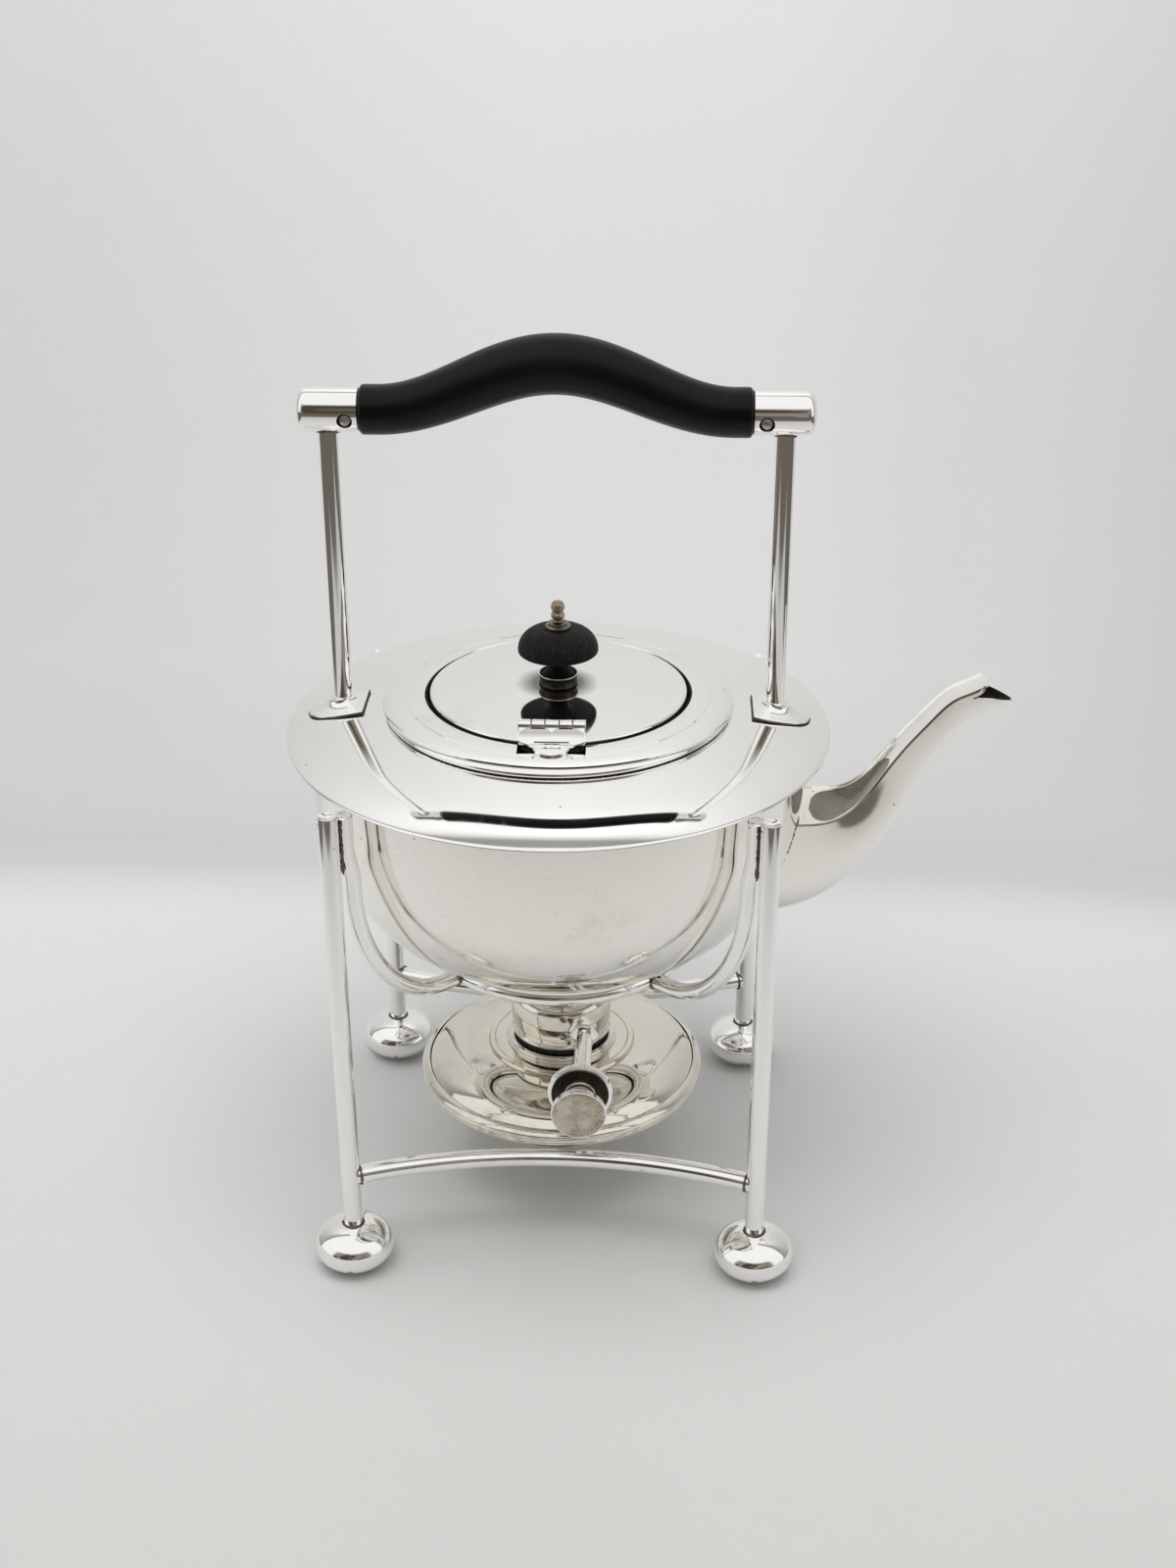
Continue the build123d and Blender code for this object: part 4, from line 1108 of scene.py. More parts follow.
def spline(values: Sequence[float], knots: Sequence[float], at: Sequence[float]) -> list[float]:
    """Runs a natural cubic spline through values.

    Args:
        values: The value at each knot.
        knots: Rising parameters of the values.
        at: Parameters to sample.

    Returns:
        The sampled values.
    """
    count = len(values)
    gaps = [knots[i + 1] - knots[i] for i in range(count - 1)]
    slopes = [(values[i + 1] - values[i]) / gaps[i] for i in range(count - 1)]
    upper, right = [0.0] * count, [0.0] * count
    for i in range(1, count - 1):
        pivot = 2 * (gaps[i - 1] + gaps[i]) - gaps[i - 1] * upper[i - 1]
        upper[i] = gaps[i] / pivot
        right[i] = (6 * (slopes[i] - slopes[i - 1]) - gaps[i - 1] * right[i - 1]) / pivot
    bend = [0.0] * count
    for i in range(count - 2, 0, -1):
        bend[i] = right[i] - upper[i] * bend[i + 1]
    sampled = []
    for value in at:
        i = max(k for k in range(count - 1) if knots[k] <= value + 1e-12)
        t, gap = value - knots[i], gaps[i]
        linear = slopes[i] - gap * (2 * bend[i] + bend[i + 1]) / 6
        sampled.append(values[i] + t * (linear + t * (bend[i] / 2 + t * (bend[i + 1] - bend[i]) / (6 * gap))))
    return sampled


def block(low: Triple, high: Triple) -> BMesh:
    """Makes a box between two corners, stated from the kettle's centre line."""
    mesh = bmesh.new()
    bmesh.ops.create_cube(mesh, size=1.0)
    first, last = place(*low), place(*high)
    bmesh.ops.scale(mesh, vec=last - first, verts=mesh.verts)
    bmesh.ops.translate(mesh, vec=(first + last) / 2, verts=mesh.verts)
    return mesh


# ---------------------------------------------------------------- stand


@dataclass
class Stand:
    """Four legs on ball feet, two bowed stretchers and the ring on its four brackets."""

    shop: Workshop
    leg_x: float = 67.0
    leg_y: float = 63.65
    leg_radius: float = 3.175
    leg_top: float = 169.0
    leg_end: float = 10.0
    foot_radius: float = 13.2
    bracket_radius: float = 2.8
    bracket_top: float = 168.0
    ring_radius: float = 43.2
    ring_wire: float = 2.9
    ring_z: float = 92.9
    stretcher_radius: float = 3.05
    stretcher_z: float = 35.0
    stretcher_middle: float = 51.2

    def build(self) -> None:
        """Builds and dresses the whole stand."""
        for name, side_x, side_y in (
            ("front_left", -1, -1),
            ("front_right", 1, -1),
            ("rear_left", -1, 1),
            ("rear_right", 1, 1),
        ):
            x, y = side_x * self.leg_x, side_y * self.leg_y
            self._leg(name, x, y)
            self._foot(name, x, y)
            self._bracket(name, x, y)
        self.shop.dress("foot_plugs", Finish.NICKEL)
        wire = [(self.ring_radius + a, self.ring_z + b) for a, b in arc_points(self.ring_wire, 0, 345, 23)]
        self.shop.piece(
            "ring_wire", stood(turned(wire, Facets.RING, closed=True)), Finish.POLISHED, "stand",
            ["support_ring"]
        )
        for name, side in (("front", -1), ("rear", 1)):
            self._stretcher(name, side)

    def _leg(self, name: str, x: float, y: float) -> None:
        """Makes one rod with a thin lip round its dished top and a small nick below the lip."""
        outline = [
            (0.0, self.leg_end), (self.leg_radius - 0.3, self.leg_end), (self.leg_radius, self.leg_end + 0.3)
        ]
        outline += [(self.leg_radius, z) for z in (60.0, 110.0, self.leg_top - 0.35)]
        lip = ((3.12, 0.12), (2.98, 0.0), (2.8, 0.03), (2.5, 0.2), (1.8, 0.52), (0.9, 0.8), (0.0, 0.9))
        outline += [(radius, self.leg_top - drop) for radius, drop in lip]
        nick = turned(softened([(0, -1.3, 0), (0.75, 0.0, 0.5), (0, 0.7, 0)], 4), 16)
        stood(nick, x - self.leg_radius * 0.93, y - self.leg_radius * 0.45, self.leg_top - 2.0)
        self.shop.piece(
            f"leg_rod_{name}", stood(turned(outline, Facets.ROD), x, y), Finish.POLISHED, "stand",
            [f"leg_{name}"], [nick]
        )

    def _foot(self, name: str, x: float, y: float) -> None:
        """Makes one hollow ball foot and the solder where the leg enters it."""
        wide = self.foot_radius
        outline = [(0.0, 0.0), (2.4, 0.0), (3.0, 0.0)] + bezier(
            (3, 0), (9.3, 0.4), (wide, 3.6), (wide, 8.1), 20
        )[1:]
        outline += bezier((wide, 8.1), (wide, 12.4), (9.0, 15.4), (3.175, 16.0), 22)[1:]
        outline += bezier((3.175, 14.7), (8.4, 14.1), (11.9, 11.8), (11.9, 8.0), 12)
        outline += bezier((11.9, 8.0), (11.9, 4.4), (8.0, 1.3), (0, 1.3), 12)[1:]
        ball = stood(turned(outline, Facets.CUP), x, y)
        self.shop.piece(f"foot_ball_{name}", ball, Finish.POLISHED, "stand", [f"foot_{name}"])
        self.shop.seam(
            f"foot_solder_{name}", ring_path(3.35, 15.95, x, y, 40), "stand", 0.42, closed=True, lumps=0.25
        )

    def _bracket(self, name: str, x: float, y: float) -> None:
        """Makes one bent wire from a leg to the ring with the solder at both joints."""
        reach = math.hypot(x, y)
        way = Vector((x / reach, y / reach, 0.0))
        aside = Vector((-way.y, way.x, 0.0))
        outer = reach - self.leg_radius - self.bracket_radius + 0.25
        inner = self.ring_radius

        def at(radius: float, z: float, off: float = 0.0) -> Vector:
            spot = way * radius + aside * off
            return place(spot.x, spot.y, z)

        flat = [(outer, self.bracket_top - 0.9), (outer, 158.0)]
        flat += bezier((outer, 158), (outer, 150), (84.7, 150), (84.7, 142), 10)[1:]
        flat += bezier((84.7, 142), (84.7, 115), (69.2, self.ring_z), (50, self.ring_z), 40)[1:]
        flat.append((inner + 0.6, self.ring_z))
        crown = [(outer, self.bracket_top - 0.9 * (1 - math.sin(math.radians(a)))) for a in (90, 60, 30)]
        path = [at(*point) for point in crown + flat]
        rounding = (0.05, 0.55, 0.88)
        last = len(path) - 1

        def size(share: float) -> float:
            index = round(share * last)
            return self.bracket_radius * (rounding[index] if index < 3 else 1.0)

        wire = swept(path, size, 40)
        self.shop.piece(f"bracket_wire_{name}", wire, Finish.POLISHED, "stand", [f"bracket_{name}"])
        for side in (-1, 1):
            groove = [at(outer + 2.35, z, side * 1.75) for z in (167.0, 163.0, 158.0, 153.0, 148.5)]
            label = f"bracket_solder_{name}_{'near' if side < 0 else 'far'}"
            self.shop.seam(label, groove, "stand", 0.42, lumps=0.5)
        collar = [
            at(inner + 2.95, self.ring_z + 2.75 * math.sin(a), 2.75 * math.cos(a))
            for a in turns(Facets.PIN)
        ]
        self.shop.seam(f"ring_solder_{name}", collar, "stand", 0.5, closed=True, lumps=0.5)

    def _stretcher(self, name: str, side: int) -> None:
        """Makes one bowed rod and the solder at its two ends."""
        sag = self.leg_y - self.stretcher_middle
        radius = (self.leg_x**2 + sag**2) / (2 * sag)
        half = math.asin(self.leg_x / radius)
        middle = self.stretcher_middle + radius
        angles = [half * (i / 40 - 1) for i in range(81)]
        path = [
            place(
                radius * math.sin(a), side * (middle - radius * math.cos(a)), self.stretcher_z
            ) for a in angles
        ]
        self.shop.piece(
            f"stretcher_rod_{name}", swept(path[1:-1], self.stretcher_radius, 40), Finish.POLISHED, "stand",
            [f"stretcher_{name}"],
        )
        for label, start, ahead in (("left", path[0], path[3]), ("right", path[-1], path[-4])):
            way = (ahead - start).normalized()
            across = way.cross(Vector((0, 0, 1)))
            loop = [
                start + way * 3.25 * MM + (across * math.cos(a) + Vector((0, 0, 1)) * math.sin(a)) * 3.1 * MM
                for a in turns(Facets.PIN)
            ]
            self.shop.seam(f"stretcher_solder_{name}_{label}", loop, "stand", 0.42, closed=True, lumps=0.4)


# ---------------------------------------------------------------- kettle


@dataclass
class KettleBody:
    """The spun bowl, the low domed shoulder and the moulded ring around the lid."""

    shop: Workshop
    bowl_radius: float = 81.5
    base_radius: float = 30.0
    base_z: float = 95.0
    straight_z: float = 166.0
    top_z: float = 172.2
    sheet: float = 1.0
    rim_radius: float = 88.6
    rim_z: float = 171.2
    dome: tuple[Pair, ...] = (
        (56.0, 178.9), (61.5, 178.13), (66.7, 177.32), (72.0, 176.38), (77.2, 175.46), (82.5, 174.06),
        (87.6, 172.05)
    )
    seat_z: float = 179.78
    crease: Pair = (49.5, 182.95)
    collar_inner: float = 43.1
    collar_top: float = 183.7
    seat_radius: float = 39.0
    notch_half: float = 10.6
    notch_y: float = 47.5

    def shoulder_z(self, radius: float) -> float:
        """Gives the height of the shoulder's top at a radius."""
        start = self.dome[0]
        if radius <= start[0]:
            share = max(0.0, radius - self.collar_inner) / (start[0] - self.collar_inner)
            return self.seat_z + (start[1] - self.seat_z) * share
        points = self.dome[:4] if radius <= self.dome[3][0] else self.dome[3:]
        t = min(1.0, (radius - points[0][0]) / (points[3][0] - points[0][0]))
        weights = ((1 - t) ** 3, 3 * t * (1 - t) ** 2, 3 * t**2 * (1 - t), t**3)
        return sum(weight * z for weight, (_, z) in zip(weights, points))

    def side(self, inset: float, steps: int = 64) -> list[Pair]:
        """Gives the bowl's side from its flat base to its upright wall, moved inwards."""
        wide, base = self.bowl_radius - inset, self.base_z + inset
        first = (self.base_radius, base)
        return bezier(
            first, (first[0] + 18 - inset / 2, base), (wide, base + 11.5), (wide, self.straight_z), steps
        )

    def solid(self) -> BMesh:
        """Gives the bowl's outer form as a solid, for trimming what is fitted to it."""
        outline = [(0.0, self.base_z)] + self.side(0.0) + [(self.bowl_radius, self.top_z), (0.0, self.top_z)]
        return stood(turned(outline, Facets.LARGE))

    def build(self) -> None:
        """Builds and dresses the bowl, the shoulder and the collar."""
        outline = [(0.0, self.base_z), (15.0, self.base_z)] + self.side(0.0)
        outline += [(self.bowl_radius, 169.5), (self.bowl_radius, self.top_z)]
        outline += [(self.bowl_radius - self.sheet, self.top_z)]
        outline += list(reversed(self.side(self.sheet, 40))) + [(0.0, self.base_z + self.sheet)]
        port = turned([(0, 40.0), (8.5, 40.0), (8.5, 95.0), (0, 95.0)], Facets.ROD)
        bmesh.ops.scale(port, vec=(25.0 / 17.0, 1.0, 1.0), verts=port.verts)
        pointed(port, Vector((1, 0, 0)), place(0, 0, 124.5))
        self.shop.piece(
            "bowl_sheet", stood(turned(outline, Facets.LARGE)), Finish.SATIN, "kettle", ["kettle_bowl"],
            [port]
        )
        self._shoulder()
        self._collar()

    def _shoulder(self) -> None:
        """Makes the domed shoulder with its rounded rim and the seat under the lid."""
        start, end = self.dome[0], self.dome[-1]
        rim, rim_z = self.rim_radius, self.rim_z
        outline = [(self.seat_radius, self.seat_z - self.sheet), (57.5, 177.0), (67.4, 175.2), (77.3, 173.2)]
        outline += [(self.bowl_radius - self.sheet, self.top_z), (self.bowl_radius, self.top_z)]
        outline += bezier((87.4, 170.9), (88.1, 170.7), (rim, 170.9), (rim, rim_z), 8)
        outline += bezier((rim, rim_z), (rim, rim_z + 0.35), (88.25, 171.8), end, 8)[1:]
        span = end[0] - start[0]
        outline += [(end[0] - span * i / 36, self.shoulder_z(end[0] - span * i / 36)) for i in range(1, 37)]
        outline += [(r, self.shoulder_z(r)) for r in (52.0, self.collar_inner, self.seat_radius)]
        dome = stood(turned(outline, Facets.LARGE, closed=True))
        self.shop.piece("shoulder_dome", dome, Finish.POLISHED, "kettle", ["shoulder"], crease=40.0)

    def _collar(self) -> None:
        """Makes the moulded ring, its black joint line, partly the joint and partly painted contact shade,
        and a black lining of painted shade in the gap around the lid.
        """
        inner, top, crease = self.collar_inner, self.collar_top, self.crease
        outline = [(inner, self.seat_z), (55.0, self.shoulder_z(55.0))]
        outline += bezier((55.0, self.shoulder_z(55.0)), (56.3, 179.0), (57.0, 179.5), (57.0, 180.3), 10)[1:]
        outline += bezier((57.0, 180.3), (57.0, 181.6), (53.8, 182.5), crease, 24)[1:]
        outline += [(crease[0] - 0.12, crease[1] - 0.14), (crease[0] - 0.3, crease[1] + 0.03), (46.8, 183.3)]
        outline.append((inner + 0.8, top))
        outline += bezier((inner + 0.8, top), (inner, top), (inner, top - 0.8), (inner, top - 0.8), 5)[1:]
        notch = block((-self.notch_half, -self.notch_y, 172.7), (self.notch_half, 0.0, 185.0))
        ring = stood(turned(outline, Facets.LARGE, closed=True))
        self.shop.piece("collar_ring", ring, Finish.POLISHED, "kettle", ["lid_collar"], [notch], crease=25.0)
        # Black bead at the ring's foot: partly the joint itself, partly painted contact shade.
        joint = ring_path(56.1, self.shoulder_z(56.1) + 0.16, count=200)
        self.shop.seam("collar_joint_and_shade", joint, "kettle", 0.36, closed=True, lumps=0.25, finish=Finish.PAINTED_SHADE)
        # Black lining on the seat and the ring's inner wall: painted shade in the gap round the lid.
        lining = [
            (39.6, 179.5), (39.6, 179.95), (42.3, 179.92), (42.6, 180.3), (42.6, 182.9), (43.05, 183.45)
        ]
        lining += [(43.3, 183.35), (43.3, 179.5)]
        opening = block((-self.notch_half + 0.2, -44.0, 180.0), (self.notch_half - 0.2, 0.0, 185.0))
        painted_shade = stood(turned(lining, Facets.RING, closed=True))
        self.shop.piece("lid_gap_painted_shade", painted_shade, Finish.PAINTED_SHADE, "kettle", [], [opening], crease=40.0)


@dataclass
class Spout:
    """The hollow swan-neck spout with a hollowed ribbon along its top."""

    shop: Workshop
    body: KettleBody
    wall: float = 1.1
    stations: tuple[tuple[float, ...], ...] = (
        (50.0, 102.0, 58.0, 143.0, 15.0),
        (73.0, 105.4, 74.5, 143.0, 14.8),
        (87.5, 111.2, 84.0, 143.1, 14.3),
        (102.4, 124.8, 92.0, 144.5, 12.0),
        (111.4, 138.3, 99.5, 149.6, 9.2),
        (116.5, 149.4, 106.0, 158.3, 7.6),
        (122.0, 160.1, 113.5, 169.0, 7.0),
        (127.4, 168.6, 120.5, 177.5, 6.6),
        (134.2, 175.6, 128.0, 184.8, 6.1),
        (139.8, 178.9, 134.8, 188.1, 6.1),
        (142.6, 180.0, 138.9, 189.85, 5.6),
        (145.2, 181.0, 143.2, 188.0, 3.4),
        (147.3, 181.75, 147.0, 183.2, 0.7),
    )
    gap: tuple[Pair, ...] = (
        (133.0, 184.95), (139.5, 184.75), (148.5, 181.8), (152.0, 196.0), (139.4, 196.0), (138.7, 188.1)
    )
    jaw_end: float = 138.6
    lip: float = 0.9
    spans: int = 8
    root_row: int = 14
    stain_rows: Pair = (15, 43)
    tip_rows: int = 3
    mouth_x: float = 124.0
    side_spans: int = 20

    def _rows(self) -> list[list[float]]:
        """Fills in stations along smooth curves."""
        stations, spans = self.stations, self.spans
        knots = [0.0]
        for before, after in zip(stations, stations[1:]):
            middle = [((a[0] + a[2]) / 2, (a[1] + a[3]) / 2) for a in (before, after)]
            knots.append(knots[-1] + math.dist(*middle))
        at = [a + (b - a) * i / spans for a, b in zip(knots, knots[1:]) for i in range(spans)] + [knots[-1]]
        columns = [spline(column, knots, at) for column in zip(*stations)]
        return [list(row) for row in zip(*columns)]

    def _section(self, station: Sequence[float], wall: float, lip: float) -> list[Vector]:
        """Gives the points of one cross-section.

        Args:
            station: Low x and z, high x and z, and half width.
            wall: Distance moved inwards.
            lip: Height of the rounded edge beside the ribbon.

        Returns:
            The points around it.
        """
        low_x, low_z, high_x, high_z, half = station
        depth = math.hypot(high_x - low_x, high_z - low_z)
        lean = ((high_x - low_x) / depth, (high_z - low_z) / depth)
        width, low, high = half - wall, wall, depth - wall
        rise = 0.15 * (high - low)
        belly = (1.08 * width, low + rise)
        side = bezier((0, low), (0.7 * width, low), belly, (width, high - lip), self.side_spans)
        round_off = [
            (width, high - 0.45 * lip), (width - 0.28 * lip, high), (width - 0.9 * lip, high - 0.1 * lip)
        ]
        flat = width - 1.5 * lip
        hollow = [
            (flat * (1 - i / 8), high - lip * 0.75 - 0.07 * width * (1 - (1 - i / 8) ** 2)) for i in range(9)
        ]
        right = side + round_off + hollow
        left = [(-a, b) for a, b in reversed(right[1:-1])]
        return [place(low_x + lean[0] * b, a, low_z + lean[1] * b) for a, b in right + left]

    def _jaws(self) -> list[BMesh]:
        """Makes the cutters that open the beak and round the end of its upper jaw."""
        gap = lofted([[place(x, y, z) for x, z in self.gap] for y in (-8.0, 8.0)])
        end, back = self.jaw_end, self.jaw_end - 5.5
        edge = bezier((back, -6.6), (end - 0.8, -6.2), (end, -3.6), (end, 0.0), 14)
        edge += [(x, -y) for x, y in reversed(edge[:-1])]
        plan = edge + [(back, 9.0), (end + 3.0, 9.0), (end + 3.0, -9.0), (back, -9.0)]
        return [gap, lofted([[place(x, y, z) for x, y in plan] for z in (185.8, 196.0)])]

    def build(self) -> None:
        """Builds and dresses the spout with the solder line at its root."""
        rows = self._rows()
        hollow = rows[: -self.tip_rows]
        outer = [self._section(s, 0.0, min(self.lip, 0.2 * s[4])) for s in rows]
        inner = [self._section(s, self._sheet(s), 0.5) for s in hollow]
        cutters = [lofted(inner), self.body.solid(), *self._jaws()]
        self.shop.piece("spout_shell", lofted(outer), Finish.SATIN, "kettle", ["spout"], cutters, crease=35.0)
        self._stain(rows[slice(*self.stain_rows)])
        self._mouth_painted_shade([s for s in hollow if s[0] > self.mouth_x])
        self._root_solder(rows[self.root_row])

    def _root_solder(self, station: Sequence[float]) -> None:
        """Lays the solder where the spout meets the bowl's wall."""
        seam = []
        for point in self._section(station, 0.0, 0.8)[::2]:
            local = Vector((point.x - AXIS_X * MM, point.y, 0.0))
            level = self._wall_radius(point.z / MM) * MM
            spot = math.sqrt(max(level**2 - local.y**2, 0.0))
            seam.append(Vector((spot + AXIS_X * MM + 0.0001, local.y, point.z)))
        self.shop.seam("spout_solder", seam, "kettle", 0.35, closed=True, lumps=0.5)

    def _sheet(self, station: Sequence[float]) -> float:
        """Gives the metal's thickness at a station, thinner towards the tip."""
        return self.wall - 0.65 * min(1.0, max(0.0, (station[0] - 139.8) / 6.4))

    def _jaw_z(self, x: float) -> float:
        """Gives the height of the lower jaw's edge, well above the spout where its walls are whole."""
        line = self.gap[:3]
        if x <= line[0][0]:
            return line[0][1] + 2.0 * (line[0][0] - x)
        for (x0, z0), (x1, z1) in zip(line, line[1:]):
            if x <= x1:
                return z0 + (z1 - z0) * (x - x0) / (x1 - x0)
        return line[-1][1]

    def _half_lining(self, station: Sequence[float], depth: float, count: int = 12) -> list[Vector]:
        """Gives points up one side of the spout's inside, from its lowest line to the jaw's edge."""
        side = self._section(station, self._sheet(station) + depth, 0.5)[: self.side_spans + 1]
        over = [spot.z / MM - self._jaw_z(spot.x / MM - AXIS_X) + 0.08 for spot in side]
        end = float(len(side) - 1)
        for index in range(1, len(side)):
            if over[index] > 0.0:
                end = index - over[index] / (over[index] - over[index - 1])
                break
        points = []
        for step in range(count + 1):
            at = max(0.0, end) * step / count
            low = min(int(at), len(side) - 2)
            points.append(side[low].lerp(side[low + 1], at - low))
        return points

    def _mouth_painted_shade(self, rows: Sequence[Sequence[float]]) -> None:
        """Lines the inside of the beak's lower jaw with black as painted shade."""
        rings = []
        for station in rows:
            skin, core = self._half_lining(station, -0.05), self._half_lining(station, 0.12)
            mirrored = [[Vector((spot.x, -spot.y, spot.z)) for spot in side] for side in (skin, core)]
            rings.append(mirrored[0][:0:-1] + skin + core[:0:-1] + [core[0]] + mirrored[1][1:])
        # Painted shade inside the jaw.
        self.shop.piece("mouth_painted_shade", lofted(rings), Finish.PAINTED_SHADE, "kettle", crease=35.0)

    def _stain(self, rows: Sequence[Sequence[float]]) -> None:
        """Lays the olive stain along the bottom of the ribbon's hollow, rounded at both ends."""
        rings = []
        for index, (low_x, low_z, high_x, high_z, half) in enumerate(rows):
            depth = math.hypot(high_x - low_x, high_z - low_z)
            lean = ((high_x - low_x) / depth, (high_z - low_z) / depth)
            lip = min(self.lip, 0.2 * half)
            flat = half - 1.5 * lip
            end = abs(2 * index / (len(rows) - 1) - 1)
            reach = 0.94 * math.sqrt(max(0.002, 1 - end**5))
            ring = []
            for lift, way in ((0.06, 1), (-0.1, -1)):
                for i in range(-8, 9):
                    share = way * reach * i / 8
                    drop = lip * 0.75 + 0.07 * half * (1 - share**2)
                    up = depth - drop + lift
                    ring.append(place(low_x + lean[0] * up, flat * share, low_z + lean[1] * up))
            rings.append(ring)
        self.shop.piece("ribbon_stain", lofted(rings), Finish.OLIVE, "kettle", crease=30.0)

    def _wall_radius(self, z: float) -> float:
        """Gives the bowl's radius at a height."""
        for (r0, z0), (r1, z1) in zip(self.body.side(0.0), self.body.side(0.0)[1:]):
            if z0 <= z <= z1 and z1 > z0:
                return r0 + (r1 - r0) * (z - z0) / (z1 - z0)
        return self.body.bowl_radius


@dataclass
class Handle:
    """Two posts on foot plates, two sockets and the black grip between them."""

    shop: Workshop
    body: KettleBody
    post_x: float = 70.3
    post_radius: float = 3.15
    post_foot: float = 180.9
    post_end: float = 270.9
    plate_inner: float = 63.0
    plate_outer: float = 82.0
    plate_half: float = 9.0
    plate_thick: float = 1.0
    plate_collar: float = 4.1
    socket_z: float = 276.6
    socket_radius: float = 6.9
    socket_inner: float = 60.2
    socket_outer: float = 79.5
    tenon: float = 5.2
    tenon_end: float = 74.0
    pin_x: float = 64.2
    pin_z: float = 274.6
    recess: float = 2.4

    def build(self) -> None:
        """Builds and dresses both ends and the grip."""
        for name, side in (("left", -1), ("right", 1)):
            self._plate(name, side)
            rod = [(0.0, self.post_foot - 0.6), (self.post_radius, self.post_foot - 0.6)]
            rod += [(self.post_radius, z) for z in (200.0, 240.0, self.post_end)] + [(0.0, self.post_end)]
            post = stood(turned(rod, Facets.ROD), side * self.post_x)
            self.shop.piece(f"post_rod_{name}", post, Finish.POLISHED, "kettle", [f"handle_post_{name}"])
            self._socket(name, side)
        self.shop.dress("socket_pins", Finish.NICKEL)
        self._grip()

    def _plate(self, name: str, side: int) -> None:
        """Makes one foot plate, rising to a small faceted collar, and its black solder line."""
        drop = self.body.shoulder_z(self.plate_inner) - self.body.shoulder_z(self.plate_outer)
        lean = math.atan(drop / (self.plate_outer - self.plate_inner))
        across = Vector((side * math.cos(lean), 0, -math.sin(lean)))
        normal = Vector((side * math.sin(lean), 0, math.cos(lean)))
        base = place(side * self.post_x, 0, self.body.shoulder_z(self.post_x))
        inner, outer, half = self.plate_inner - self.post_x, self.plate_outer - self.post_x, self.plate_half
        flat = [(inner, half - 2 * half * i / 16) for i in range(17)]
        flat += bezier((inner, -half), (0.3 * outer, -1.15 * half), (outer, -0.8 * half), (outer, 0), 24)[1:]
        flat += bezier((outer, 0), (outer, 0.8 * half), (0.3 * outer, 1.15 * half), (inner, half), 24)[1:-1]

        def ring(scale: float, height: float, round_share: float = 0.0) -> list[Vector]:
            points = []
            for a, b in flat:
                angle = math.atan2(b, a)
                circle = (self.plate_collar * math.cos(angle), self.plate_collar * math.sin(angle))
                u = a * scale * (1 - round_share) + circle[0] * round_share
                v = b * scale * (1 - round_share) + circle[1] * round_share
                points.append(base + (across * u + Vector((0, 1, 0)) * v + normal * height) * MM)
            return points

        thick = self.plate_thick
        rings = [
            ring(1.0, -0.5), ring(1.0, 0.3), ring(0.995, thick - 0.35), ring(0.975, thick - 0.08),
            ring(0.94, thick + 0.05)
        ]
        rings += [ring(0.80, thick + 0.35), ring(0.64, thick + 0.95, 0.1), ring(0.52, thick + 1.7, 0.35)]
        rings += [ring(0.46, thick + 2.4, 0.8), ring(0.42, thick + 2.9, 1.0)]
        self.shop.piece(
            f"plate_{name}", lofted(rings), Finish.POLISHED, "kettle", [f"post_plate_{name}"], crease=50.0
        )
        foot = self.post_foot
        neck = softened(
            [(0, foot - 2, 0), (4.1, foot - 1.8, 0.2), (4.1, foot - 0.3, 0.25), (3.3, foot, 0), (0, foot, 0)],
            3
        )
        collar = stood(turned(neck, 8), side * self.post_x)
        self.shop.piece(f"plate_collar_{name}", collar, Finish.POLISHED, "kettle", crease=25.0)
        edge = ring(1.01, 0.05)
        self.shop.seam(
            f"plate_joint_{name}", edge[::2], "kettle", 0.26, closed=True, lumps=0.25, finish=Finish.BLACK_JOINT_AND_SHADE
        )

    def _socket(self, name: str, side: int) -> None:
        """Makes one closed cup with its pin recess and the solder at the post."""
        outer, radius = self.socket_outer, self.socket_radius
        outline = [(0.0, outer)] + [(b, a) for a, b in bezier(
            (outer, 0), (outer, 0.6 * radius), (outer - 0.6, radius), (outer - 3.2, radius), 14)][1:]
        outline += [(radius, 70.0), (radius, self.socket_inner + 0.25), (radius - 0.25, self.socket_inner)]
        outline += [(self.tenon, self.socket_inner), (self.tenon, self.tenon_end), (0.0, self.tenon_end)]
        cup = pointed(turned(outline, Facets.CUP), Vector((side, 0, 0)), place(0, 0, self.socket_z))
        hole = turned(
            softened([(0, 0, 0), (self.recess, 0, 0), (self.recess, 12, 0), (0, 12, 0)]), Facets.PIN
        )
        pointed(hole, Vector((0, -1, 0)), place(side * self.pin_x, 0, self.pin_z))
        self.shop.piece(
            f"socket_cup_{name}", cup, Finish.POLISHED, "kettle", [f"handle_socket_{name}"], [hole]
        )
        saddle = []
        for angle in turns(Facets.BEAD):
            x, y = 3.35 * math.cos(angle), 3.35 * math.sin(angle)
            saddle.append(
                place(side * self.post_x + x, y, self.socket_z - math.sqrt(radius**2 - y * y) - 0.1)
            )
        self.shop.seam(f"socket_solder_{name}", saddle, "kettle", 0.38, closed=True, lumps=0.4)
        head = turned(softened([(0, 0, 0), (1.7, 0, 0), (1.7, 0.7, 0.3), (0.6, 1.1, 0.3), (0, 1.1, 0)]), 32)
        pointed(head, Vector((0, -1, 0)), place(side * self.pin_x, -5.15, self.pin_z))
        self.shop.piece(f"pin_head_{name}", head, Finish.NICKEL, "kettle")

